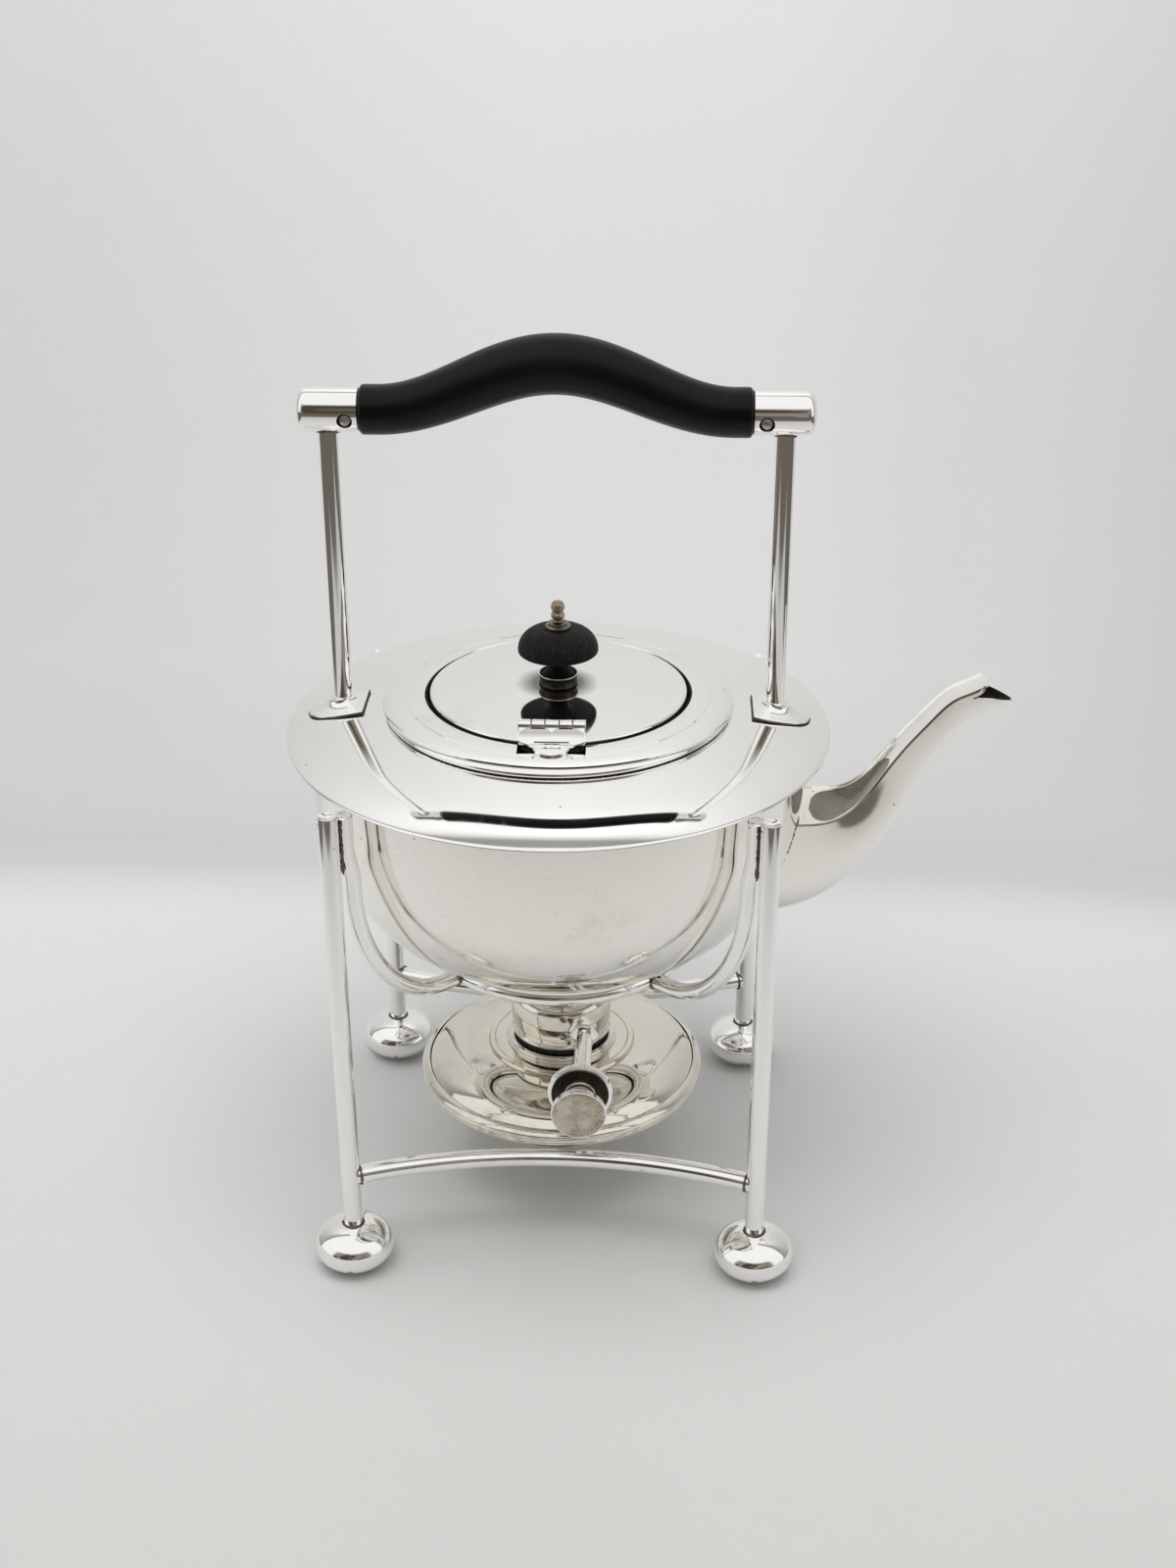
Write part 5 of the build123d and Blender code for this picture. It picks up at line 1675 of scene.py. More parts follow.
    def _grip(self) -> None:
        """Makes the grip from its tree and adds its hidden tenons."""
        start = bpy.data.meshes.new("grip_start")
        centre = tuple(place(0, 0, self.socket_z))
        bar = grip_tree().run(start, {"Centre": centre}, self.shop.materials[Finish.GRIP])
        tenons = []
        for side in (-1, 1):
            outline = [
                (0.0, 58.5), (self.tenon, 58.5), (self.tenon, self.tenon_end - 0.3),
                (0.0, self.tenon_end - 0.3)
            ]
            tenons.append(
                pointed(turned(outline, Facets.BEAD), Vector((side, 0, 0)), place(0, 0, self.socket_z))
            )
        self.shop.piece(
            "grip_bar", joined([bar, *tenons]), Finish.GRIP, "kettle", ["handle_grip"], crease=50.0
        )


# ---------------------------------------------------------------- lid


@dataclass
class Lid:
    """The low domed lid with its black knob and metal finial."""

    shop: Workshop
    radius: float = 41.8
    edge_z: float = 184.5
    skirt_z: float = 180.6
    centre_z: float = 186.0
    rod: float = 1.5
    knob_radius: float = 13.0
    knob_base: float = 188.0
    knob_under: float = 197.1
    knob_widest: float = 198.0
    knob_top: float = 205.3

    def build(self) -> None:
        """Builds and dresses the lid's pieces."""
        self._disc()
        self._ferrule()
        self._knob()
        self._finial()
        self.shop.dress("finial_nut", Finish.NICKEL)

    def _disc(self) -> None:
        """Makes the disc with its turned-down edge, and a black band of painted shade in the gap round its
        skirt.
        """
        wide, edge, centre = self.radius, self.edge_z, self.centre_z
        outline = [(self.rod, centre), (6.3, centre)]
        outline += bezier((6.3, centre), (20, centre - 0.2), (32, edge + 0.4), (wide - 1, edge), 32)[1:]
        outline += bezier((wide - 1, edge), (wide, edge), (wide, edge - 1), (wide, edge - 1), 6)[1:]
        outline += [(wide, self.skirt_z + 0.15), (wide - 0.15, self.skirt_z), (wide - 0.85, self.skirt_z)]
        outline += [(wide - 1, self.skirt_z + 0.15), (wide - 1, edge - 1.5), (wide - 2, edge - 1)]
        outline += [(20, centre - 1.5), (6.3, centre - 1), (self.rod, centre - 1)]
        disc = stood(turned(outline, Facets.LARGE, closed=True))
        self.shop.piece("lid_sheet", disc, Finish.LID, "lid", ["lid_disc"], crease=40.0)
        # Black band round the skirt: painted shade in the gap between lid and ring.
        band = [
            (wide - 0.1, self.skirt_z + 0.3), (wide + 0.14, self.skirt_z + 0.4), (wide + 0.14, edge - 1.1)
        ]
        band += [(wide + 0.04, edge - 0.75), (wide - 0.1, edge - 0.75)]
        opening = block((-10.6, -47.0, 180.0), (10.6, 0.0, 185.0))
        self.shop.piece("lid_edge_painted_shade", stood(turned(band, Facets.RING, closed=True)), Finish.PAINTED_SHADE, "lid",
                        [], [opening],
                        crease=30.0)

    def _ferrule(self) -> None:
        """Makes the small turned cup under the knob, dressed dull black as painted shade, with a bright rim.
        """
        corners = [
            (self.rod, 0, 0), (6.2, 0, 0.1), (6.4, 0.35, 0.2), (6.0, 0.95, 0.3), (5.9, 2.2, 0.5),
            (6.45, 3.2, 0.15)
        ]
        corners += [
            (6.45, 3.55, 0.15), (6.15, 3.8, 0.1), (5.85, 3.65, 0.1), (5.4, 2.0, 0.1), (self.rod, 2.0, 0)
        ]
        outline = [(r, self.centre_z + z) for r, z in softened(corners, 4)]
        cup = stood(turned(outline, Facets.CUP, closed=True))
        # Dull black on the cup: painted shade under the knob.
        self.shop.piece("knob_ferrule", cup, Finish.BLACK_JOINT_AND_SHADE, "lid", ["finial_ferrule"], crease=40.0)
        rim = ring_path(6.3, self.centre_z + 3.75, count=Facets.CUP)
        self.shop.seam("ferrule_rim", rim, "lid", 0.16, closed=True, lumps=0.0, finish=Finish.POLISHED)

    def _knob(self) -> None:
        """Makes the turned mushroom knob on its trumpet-shaped stem."""
        base, under, widest = self.knob_base, self.knob_under, self.knob_widest
        top, wide, rod = self.knob_top, self.knob_radius, self.rod
        outline = [(rod, top), (rod, base), (5.25, base), (5.6, 189.4)]
        outline += bezier((5.6, 189.4), (4.4, 190.0), (3.2, 191.4), (3.15, 193.4), 10)[1:]
        outline += bezier((3.15, 193.4), (3.15, 195.4), (3.9, 196.9), (6.4, under), 10)[1:]
        outline += [(9.0, under + 0.04), (12.1, under)]
        outline += bezier((12.1, under), (12.8, under), (wide, under + 0.4), (wide, widest), 6)[1:]
        outline += bezier((wide, widest), (wide, 202.1), (9.6, top - 0.1), (4.3, top), 28)[1:]
        knob = stood(turned(outline, Facets.KNOB, closed=True))
        self.shop.piece("knob_cap", knob, Finish.EBONY, "lid", ["knob"])

    def _finial(self) -> None:
        """Makes the dark button with the rod below it, and the brown ring and ball above."""
        end, top = self.centre_z - 4.0, self.knob_top
        corners = [
            (0, end, 0), (self.rod, end, 0.2), (self.rod, top, 0), (4.15, top, 0.1), (4.15, 206.2, 0.25)
        ]
        corners += [(3.25, 206.5, 0.1), (3.2, 207.3, 0.2), (2.5, 207.5, 0.1)]
        outline = softened(corners, 4) + bezier((2.4, 207.5), (1.7, 207.7), (1.4, 208.1), (1.45, 208.6), 8)
        outline += [(1.45, 209.6), (0.0, 209.6)]
        self.shop.piece(
            "finial_button", stood(turned(outline, Facets.ROD)), Finish.SMOKED, "lid", ["finial_screw"]
        )
        crown = [(0.0, 208.5), (1.3, 208.5)] + bezier(
            (1.3, 208.5), (2.5, 208.8), (2.55, 210.4), (1.5, 210.7), 12
        )[1:]
        crown += [(1.4, 210.9)] + bezier((1.4, 211.0), (2.55, 211.3), (2.6, 213.9), (1.0, 214.5), 14)
        crown.append((0.0, 214.6))
        self.shop.piece("finial_crown", stood(turned(crown, Facets.ROD)), Finish.AGED, "lid", crease=30.0)


@dataclass
class Hinge:
    """Five knuckles on a pin, a lobed outer leaf and a short tongue on the lid."""

    shop: Workshop
    y: float = -39.8
    z: float = 189.3
    radius: float = 1.8
    bore: float = 0.8
    edges: tuple[float, ...] = (-10.5, -6.3, -2.1, 2.3, 6.4, 10.5)
    gap: float = 0.1

    def build(self) -> None:
        """Builds and dresses both leaves and the pin."""
        outer = [
            ((-40.3, 190.5), (-39.9, 188.0), 10.4),
            ((-41.2, 189.9), (-41.0, 187.6), 10.4),
            ((-42.4, 187.8), (-41.9, 186.1), 10.4),
            ((-43.4, 186.0), (-42.8, 184.7), 10.4),
            ((-43.9, 185.35), (-43.5, 184.1), 9.9),
            ((-44.7, 184.95), (-44.4, 183.6), 7.6),
            ((-45.4, 184.84), (-45.4, 183.45), 6.2),
            ((-46.2, 184.7), (-46.2, 183.3), 5.7),
            ((-47.4, 184.5), (-47.4, 183.15), 5.35),
            ((-48.6, 184.3), (-48.6, 182.95), 4.6),
            ((-49.5, 184.15), (-49.5, 182.85), 3.5),
            ((-50.1, 184.05), (-50.1, 182.75), 2.0),
            ((-50.35, 184.0), (-50.35, 182.7), 0.8),
        ]
        marks = [
            block((-5.4, -44.1, 184.95), (5.4, -43.75, 187.0)),
            block((-2.8, -46.75, 184.3), (2.8, -46.45, 186.0)),
        ]
        self._leaf("hinge_leaf_outer", "kettle", "hinge_leaf_fixed", outer, (0, 2, 4), (1, 3), marks)
        inner = [
            ((-39.2, 190.4), (-39.0, 187.8), 6.3),
            ((-38.0, 189.6), (-37.9, 186.4), 6.3),
            ((-36.8, 187.6), (-36.8, 184.4), 6.3),
            ((-35.9, 186.1), (-35.9, 184.4), 6.3),
            ((-33.0, 186.2), (-33.0, 184.6), 6.25),
            ((-31.0, 186.28), (-31.0, 184.7), 5.9),
            ((-29.0, 186.36), (-29.0, 184.8), 5.1),
            ((-27.4, 186.42), (-27.4, 184.85), 3.7),
            ((-26.4, 186.46), (-26.4, 184.88), 2.0),
            ((-26.0, 186.48), (-26.0, 184.9), 0.9),
        ]
        self._leaf("hinge_leaf_inner", "lid", "hinge_leaf_lid", inner, (1, 3), (0, 2, 4), [])
        self._painted_shade()
        self.shop.dress("hinge_pin", Finish.NICKEL)

    def _painted_shade(self) -> None:
        """Makes the painted shade: black between the knuckles, in the leaf's grooves and round the notch's
        floor.
        """
        pieces = [
            block((-5.3, -44.08, 184.9), (5.3, -43.77, 185.12)),
            block((-2.7, -46.73, 184.25), (2.7, -46.47, 184.45)),
            block((-10.4, -47.3, 179.2), (10.4, -43.0, 179.75)),
            block((-10.4, -47.45, 179.7), (10.4, -47.2, 182.6)),
        ]
        inner, outer = self.bore + 0.02, self.radius - 0.06
        for edge in self.edges[1:-1]:
            outline = [(inner, edge - 0.07), (outer, edge - 0.07), (outer, edge + 0.07), (inner, edge + 0.07)]
            pieces.append(
                pointed(turned(outline, Facets.PIN, closed=True), Vector((1, 0, 0)), place(0, self.y, self.z))
            )
        # Black sheets that stand for the shade in these gaps.
        self.shop.piece("hinge_painted_shade", joined(pieces), Finish.PAINTED_SHADE, "kettle", crease=40.0)

    def _knuckle(self, number: int) -> BMesh:
        """Makes one bored knuckle with eased edges, counted from the left."""
        start, end = self.edges[number] + self.gap, self.edges[number + 1] - self.gap
        corners = [
            (self.bore, start, 0), (self.radius, start, 0.28), (self.radius, end, 0.28), (self.bore, end, 0)
        ]
        outline = softened(corners, 4)
        return pointed(turned(outline, Facets.BEAD, closed=True), Vector((1, 0, 0)), place(0, self.y, self.z))

    def _zone(self, number: int, radius: float) -> BMesh:
        """Makes a plain slug along one knuckle's length, for clearing the other leaf."""
        start, end = self.edges[number] - self.gap, self.edges[number + 1] + self.gap
        outline = [(0.0, start), (radius, start), (radius, end), (0.0, end)]
        return pointed(turned(outline, Facets.PIN), Vector((1, 0, 0)), place(0, self.y, self.z))

    def _leaf(
        self,
        name: str,
        body: str,
        node: str,
        stations: Sequence[tuple[Pair, Pair, float]],
        own: Sequence[int],
        other: Sequence[int],
        marks: list[BMesh],
    ) -> None:
        """Makes one leaf.

        Args:
            name: The piece's name.
            body: The body it rides on.
            node: The frame's node it stands for.
            stations: Top and bottom (y, z) and half width along the plate.
            own: Its knuckles.
            other: The other leaf's knuckles.
            marks: Shallow cutters for the lines on it.
        """
        rings = []
        for (top_y, top_z), (low_y, low_z), half in stations:
            soft = min(0.35, half * 0.3)
            share = 0.25
            high, low = Vector((top_y, top_z)), Vector((low_y, low_z))
            down = high.lerp(low, share)
            row = [(half, down), (half - soft, high), (0.0, high), (soft - half, high), (-half, down)]
            row += [(-half, low), (0.0, low), (half, low)]
            rings.append([place(x, spot.x, spot.y) for x, spot in row])
        cutters = [self._zone(number, self.radius + 0.25) for number in other]
        cutters += [self._zone(number, self.bore) for number in own] + marks
        self.shop.piece(name, lofted(rings), Finish.POLISHED, body, [node], cutters, crease=30.0)
        for number in own:
            self.shop.piece(
                f"{name}_knuckle_{number + 1}", self._knuckle(number), Finish.POLISHED, body, crease=50.0
            )


# ---------------------------------------------------------------- burner


@dataclass
class Burner:
    """The spirit reservoir, the bush on top, the screwed head and the wick."""

    shop: Workshop
    bead: float = 3.3
    bead_centre: float = 46.3
    bead_z: float = 39.5
    pan_radius: float = 42.5
    pan_z: float = 35.5
    dome_radius: float = 46.6
    dome_edge: float = 40.9
    tier_radius: float = 25.3
    tier_z: float = 50.4
    barrel_radius: float = 17.5
    spigot: float = 13.0

    def build(self) -> None:
        """Builds and dresses the burner without its winder."""
        self._pan()
        self._dome()
        self._neck()
        self._barrel()
        self._wick()

    def _pan(self) -> None:
        """Makes the pan with its heavy bead, which has two fine turned grooves."""
        outline = [(0.0, self.pan_z), (20.0, self.pan_z), (self.pan_radius, self.pan_z)]
        grooves = ((-8.0, 0.22), (24.0, 0.22))
        for step in range(61):
            angle = -118 + (84 + 118) * step / 60
            dent = sum(depth * max(0.0, 1 - abs(angle - at) / 4.0) for at, depth in grooves)
            reach = self.bead - dent
            outline.append(
                (
                    self.bead_centre + reach * math.cos(math.radians(angle)),
                    self.bead_z + reach * math.sin(math.radians(angle))
                )
            )
        outline = [
            point for point in outline if not (
                point[0] < self.dome_radius and point[1] > self.dome_edge + 0.05
            )
        ]
        outline += [(self.dome_radius, self.dome_edge), (45.0, self.dome_edge - 0.1), (44.3, self.bead_z)]
        outline += [(42.1, self.pan_z + 1), (0.0, self.pan_z + 1)]
        self.shop.piece(
            "pan_spun", stood(turned(outline, Facets.LARGE)), Finish.WARM, "burner", ["reservoir_pan"],
            crease=50.0
        )

    def _dome(self) -> None:
        """Makes the dome and the tier with two fine yellowed lines."""
        edge_top = self.dome_edge + 1.5
        wide, tier, top = self.dome_radius, self.tier_radius, self.tier_z
        outline = [(wide, self.dome_edge), (wide, edge_top - 0.4)]
        outline += bezier((wide, edge_top - 0.4), (wide, edge_top), (46.2, 42.9), (45.7, 43.4), 5)[1:]
        outline += bezier((45.7, 43.4), (43.6, 46.4), (36.5, 48.8), (tier, 49.2), 40)[1:]
        outline += softened(
            [(tier, 49.2, 0), (tier + 0.25, 49.45, 0.15), (tier, 49.8, 0.15), (tier - 0.1, top, 0.35),
             (23.6, top, 0),
             (23.4, top - 0.18, 0), (23.2, top, 0), (15.2, top, 0)], 4)[1:]
        outline += [(15.2, top - 1), (tier - 1, top - 1), (tier - 1, 48.2)]
        outline += bezier((tier - 1, 48.2), (36, 47.8), (43.8, 45.6), (wide - 1, edge_top), 20)[1:]
        outline += [(wide - 1, self.dome_edge)]
        self.shop.piece("dome_spun", stood(turned(outline, Facets.LARGE, closed=True)), Finish.WARM, "burner",
                        ["reservoir_dome"], crease=40.0)
        for number, (radius, z) in enumerate(((tier + 0.12, 49.35), (23.4, top - 0.05))):
            line = ring_path(radius, z, count=Facets.DISC)
            self.shop.seam(
                f"dome_line_{number + 1}", line, "burner", 0.2, closed=True, lumps=0.2, finish=Finish.BRASS
            )

    def _neck(self) -> None:
        """Makes the bush as a stack of soft rings with a plain bore at its thread's radius, and the loose
        washer.
        """
        low, thread = self.tier_z - 2.6, 13.08
        corners = [(thread, low, 0), (15.2, low, 0), (15.2, self.tier_z, 0), (19.3, self.tier_z, 0.2)]
        corners += [
            (19.3, 51.1, 0.3), (18.5, 51.35, 0.2), (18.9, 51.7, 0.3), (18.7, 52.2, 0.3), (17.6, 52.6, 0.2)
        ]
        corners += [(thread, 52.6, 0)]
        bush = stood(turned(softened(corners, 4), Facets.DISC, closed=True))
        self.shop.piece("neck_rings", bush, Finish.WARM, "burner", ["neck_collar"], crease=40.0)
        washer = softened([(13.3, 52.9, 0.1), (16.7, 52.9, 0.35), (16.7, 54.3, 0.35), (13.3, 54.3, 0.1)], 4)
        washer = washer[1:] if washer[0] == washer[-1] else washer
        self.shop.piece(
            "washer_ring", stood(turned(washer, Facets.KNOB, closed=True)), Finish.LEATHER, "washer",
            ["neck_washer"]
        )

    def _barrel(self) -> None:
        """Makes the head's barrel with its spigot, thread and boss."""
        wide, spigot = self.barrel_radius, self.spigot
        corners = [
            (spigot - 1.2, 47.5, 0), (spigot - 0.45, 47.5, 0.1), (spigot - 0.45, 54.6, 0),
            (wide - 0.9, 54.6, 0.3)
        ]
        corners += [
            (wide - 0.15, 55.1, 0.3), (wide - 0.15, 55.9, 0.3), (wide - 0.75, 56.3, 0.2),
            (wide - 0.7, 56.8, 0.2)
        ]
        outline = softened(corners, 4)
        outline += bezier(
            (wide - 0.7, 56.8), (wide + 0.15, 60.5), (wide + 0.15, 65.0), (wide - 0.45, 68.3), 16
        )[1:]
        outline += bezier((wide - 0.45, 68.3), (16.2, 71.2), (11.5, 72.6), (7.6, 73.0), 14)[1:]
        outline += softened(
            [(7.6, 73.0, 0), (7.1, 73.1, 0.1), (7.1, 75.0, 0.25), (5.5, 75.0, 0.1), (5.5, 71.8, 0)], 3
        )[1:]
        outline += bezier((5.5, 71.8), (12.0, 71.2), (16.3, 70.0), (16.3, 68.0), 10)[1:]
        outline += [(16.3, 56.0), (spigot - 1.2, 56.0)]
        self.shop.piece("barrel_spun", stood(turned(outline, Facets.RING, closed=True)), Finish.WARM,
                        "burner_head",
                        ["burner_barrel"], crease=40.0)
        start = bpy.data.meshes.new("thread_start")
        values = {"Radius": (spigot - 0.42) * MM, "Centre": tuple(place(0, 0, 47.8))}
        helix = thread_tree().run(start, values, self.shop.materials[Finish.BRASS])
        self.shop.piece("spigot_thread", helix, Finish.BRASS, "burner_head", crease=60.0)
        corners = [
            (2.9, 8.9, 0), (3.7, 9.0, 0), (3.8, 14.6, 0.8), (4.5, 16.4, 0.8), (5.0, 18.4, 0.3),
            (5.0, 19.1, 0.3)
        ]
        corners += [(4.4, 19.5, 0.2), (2.95, 19.5, 0)]
        boss = pointed(turned(softened(corners, 4), 6, closed=True), Vector((0, -1, 0)), place(8.7, 0, 62.2))
        self.shop.piece("sleeve_boss", boss, Finish.POLISHED, "burner_head", crease=25.0)

    def _wick(self) -> None:
        """Makes the wick tube, slotted for the star wheel, and the wick's strands."""
        outline = softened(
            [(4.7, 46, 0), (5.5, 46, 0.1), (5.5, 79, 0.35), (4.7, 79, 0.3), (4.7, 46, 0)], 4
        )[:-1]
        slot = block((0, -1.3, 57.6), (8.7, 1.3, 66.8))
        self.shop.piece("tube_rolled", stood(turned(outline, Facets.CUP, closed=True)), Finish.NICKEL,
                        "burner_head",
                        ["wick_tube"], [slot], crease=40.0)
        start = bpy.data.meshes.new("wick_start")
        strands = wick_tree().run(
            start, {"Centre": tuple(place(0, 0, 61.0))}, self.shop.materials[Finish.WICK]
        )
        self.shop.piece("wick_bundle", strands, Finish.WICK, "wick", ["wick"], crease=60.0)


@dataclass
class Winder:
    """The sleeve, the large knurled disc on it and the small knob that winds the wick."""

    shop: Workshop
    x: float = 8.7
    z: float = 62.2
    sleeve: float = 2.9
    sleeve_end: float = 57.0
    disc_radius: float = 10.65
    disc_start: float = 51.0
    disc_end: float = 53.8
    hub: float = 5.3
    hub_end: float = 56.6
    knob_radius: float = 9.0
    knob_start: float = 62.9
    face: float = 66.0

    def _turn(self, corners: Sequence[Triple], segments: int = Facets.KNOB, closed: bool = True) -> BMesh:
        """Turns an outline of (radius, distance forward, rounding) about the spindle's line."""
        mesh = turned(softened(corners, 4), segments, closed)
        return pointed(mesh, Vector((0, -1, 0)), place(self.x, 0, self.z))

    def build(self) -> None:
        """Builds and dresses the winder's pieces."""
        corners = [
            (1.5, 8, 0), (self.sleeve, 8, 0), (self.sleeve, self.sleeve_end, 0.2), (1.5, self.sleeve_end, 0)
        ]
        self.shop.piece(
            "sleeve_tube", self._turn(corners, Facets.ROD), Finish.POLISHED, "burner_head",
            ["spindle_sleeve"], crease=50.0
        )
        self._disc()
        self._knob()
        self.shop.dress("spindle", Finish.BRASS)
        self.shop.dress("star_wheel", Finish.BRASS)

    def _disc(self) -> None:
        """Makes the large disc: a bright thin edge round a dish painted black as shade, a hub and a coarse
        knurl.
        """
        rim, start, end, bore = self.disc_radius - 0.45, self.disc_start, self.disc_end, self.sleeve + 0.05
        corners = [(bore, start, 0), (rim, start, 0.3), (rim, end, 0.25), (rim - 0.75, end, 0.15)]
        corners += [(rim - 1.1, end - 0.9, 0), (bore, end - 0.9, 0)]
        self.shop.piece(
            "disc_turned", self._turn(corners, Facets.DISC), Finish.POLISHED, "sleeve_disc", ["sleeve_disc"],
            crease=40.0
        )
        # The dish's black is painted shade.
        dish = [
            (bore + 0.05, end - 1.2, 0), (rim - 1.15, end - 1.2, 0), (rim - 1.0, end - 0.5, 0.2),
            (7.4, end - 0.82, 0.6)
        ]
        dish += [(self.hub, end - 0.84, 0.2), (bore + 0.05, end - 0.84, 0)]
        self.shop.piece("disc_dish_painted_shade", self._turn(dish, Facets.KNOB), Finish.BLACK_JOINT_AND_SHADE, "sleeve_disc", crease=40.0)
        hub = [
            (bore, end - 0.9, 0), (self.hub, end - 0.9, 0), (self.hub, end + 0.5, 0.3),
            (self.hub - 0.5, end + 0.8, 0.2)
        ]
        hub += [
            (self.hub - 0.3, end + 1.3, 0.3), (self.hub - 0.4, self.hub_end, 0.4), (bore, self.hub_end, 0)
        ]
        self.shop.piece("disc_hub", self._turn(hub, Facets.CUP), Finish.NICKEL, "sleeve_disc", crease=40.0)
        self._knurl(
            "disc_knurl", self.disc_radius - 0.42, 84, 0.4, start + 0.3, end - 0.35, Finish.POLISHED,
            "sleeve_disc"
        )

    def _knob(self) -> None:
        """Makes the small knob with a slightly domed, brushed face and a fine knurl."""
        rim, start, face = self.knob_radius - 0.3, self.knob_start, self.face
        corners = [(1.45, 57.6, 0), (4.0, 57.6, 0.3), (4.0, 60.0, 0.4), (3.5, 60.8, 0.4), (4.0, start, 0.2)]
        corners += [
            (rim - 0.3, start, 0.2), (rim, start + 0.4, 0.1), (rim, face - 0.9, 0.15),
            (rim - 0.35, face - 0.45, 0.2)
        ]
        corners += [(rim - 1.6, face - 0.22, 1.0), (rim - 4.0, face - 0.06, 1.5), (1.5, face, 0)]
        corners += [(0.0, face, 0), (0.0, face - 1.6, 0), (1.45, face - 1.6, 0)]
        knob = self._turn(corners, Facets.DISC)
        self.shop.piece("knob_turned", knob, Finish.FACE, "winder", ["winder_knob"], crease=30.0)
        self._knurl(
            "knob_knurl", self.knob_radius - 0.28, 110, 0.27, start + 0.3, face - 0.8, Finish.POLISHED,
            "winder"
        )

    def _knurl(
        self, name: str, radius: float, count: int, ridge: float, start: float, end: float,
        finish: Finish, body: str
    ) -> None:
        """Lays knurled ridges around an edge.

        Args:
            name: The piece's name.
            radius: Radius of the ridges' centres in millimetres.
            count: Number of ridges.
            ridge: Half diagonal of a ridge.
            start, end: Distances forward of the ridges' ends.
            finish: Their finish.
            body: The body they ride on.
        """
        values = {
            "Radius": radius * MM,
            "Count": count,
            "Ridge": ridge * MM,
            "Length": (end - start) * MM,
            "Centre": tuple(place(self.x, -(start + end) / 2, self.z)),
        }
        ridges = self.shop.knurls.run(bpy.data.meshes.new("knurl_start"), values, self.shop.materials[finish])
        self.shop.piece(name, ridges, finish, body, crease=20.0)


# ---------------------------------------------------------------- studio and camera


@dataclass(frozen=True)
class ClothTones:
    """Tones of the pale sweep, one cloth painted in lit and shaded tones: floor, painted shade at the front,
    painted shade in the turn above the floor, the wall painted brighter, painted shade at its sides, and far
    edges.
    """

    floor_low: Tone = (0.62, 0.627, 0.628, 1.0)
    floor_high: Tone = (0.65, 0.656, 0.655, 1.0)
    # Painted shade towards the camera.
    front: Tone = (0.40, 0.39, 0.375, 1.0)
    turn: Tone = (0.535, 0.542, 0.545, 1.0)
    wall: Tone = (0.94, 0.943, 0.945, 1.0)
    # Painted shade at the wall's sides.
    wall_side_shade: Tone = (0.66, 0.665, 0.665, 1.0)
    edge: Tone = (0.10, 0.085, 0.07, 1.0)


@dataclass(frozen=True)
class TentTones:
    """Tones of the tent: its walls, their clouding and the room seen through its open front."""

    walls_low: Tone = (0.92, 0.92, 0.91, 1.0)
    walls_top: Tone = (0.95, 0.95, 0.9405, 1.0)
    cloud: Tone = (0.55, 0.54, 0.51, 1.0)
    room_dark: Tone = (0.07, 0.055, 0.04, 1.0)
    room_light: Tone = (0.26, 0.235, 0.20, 1.0)


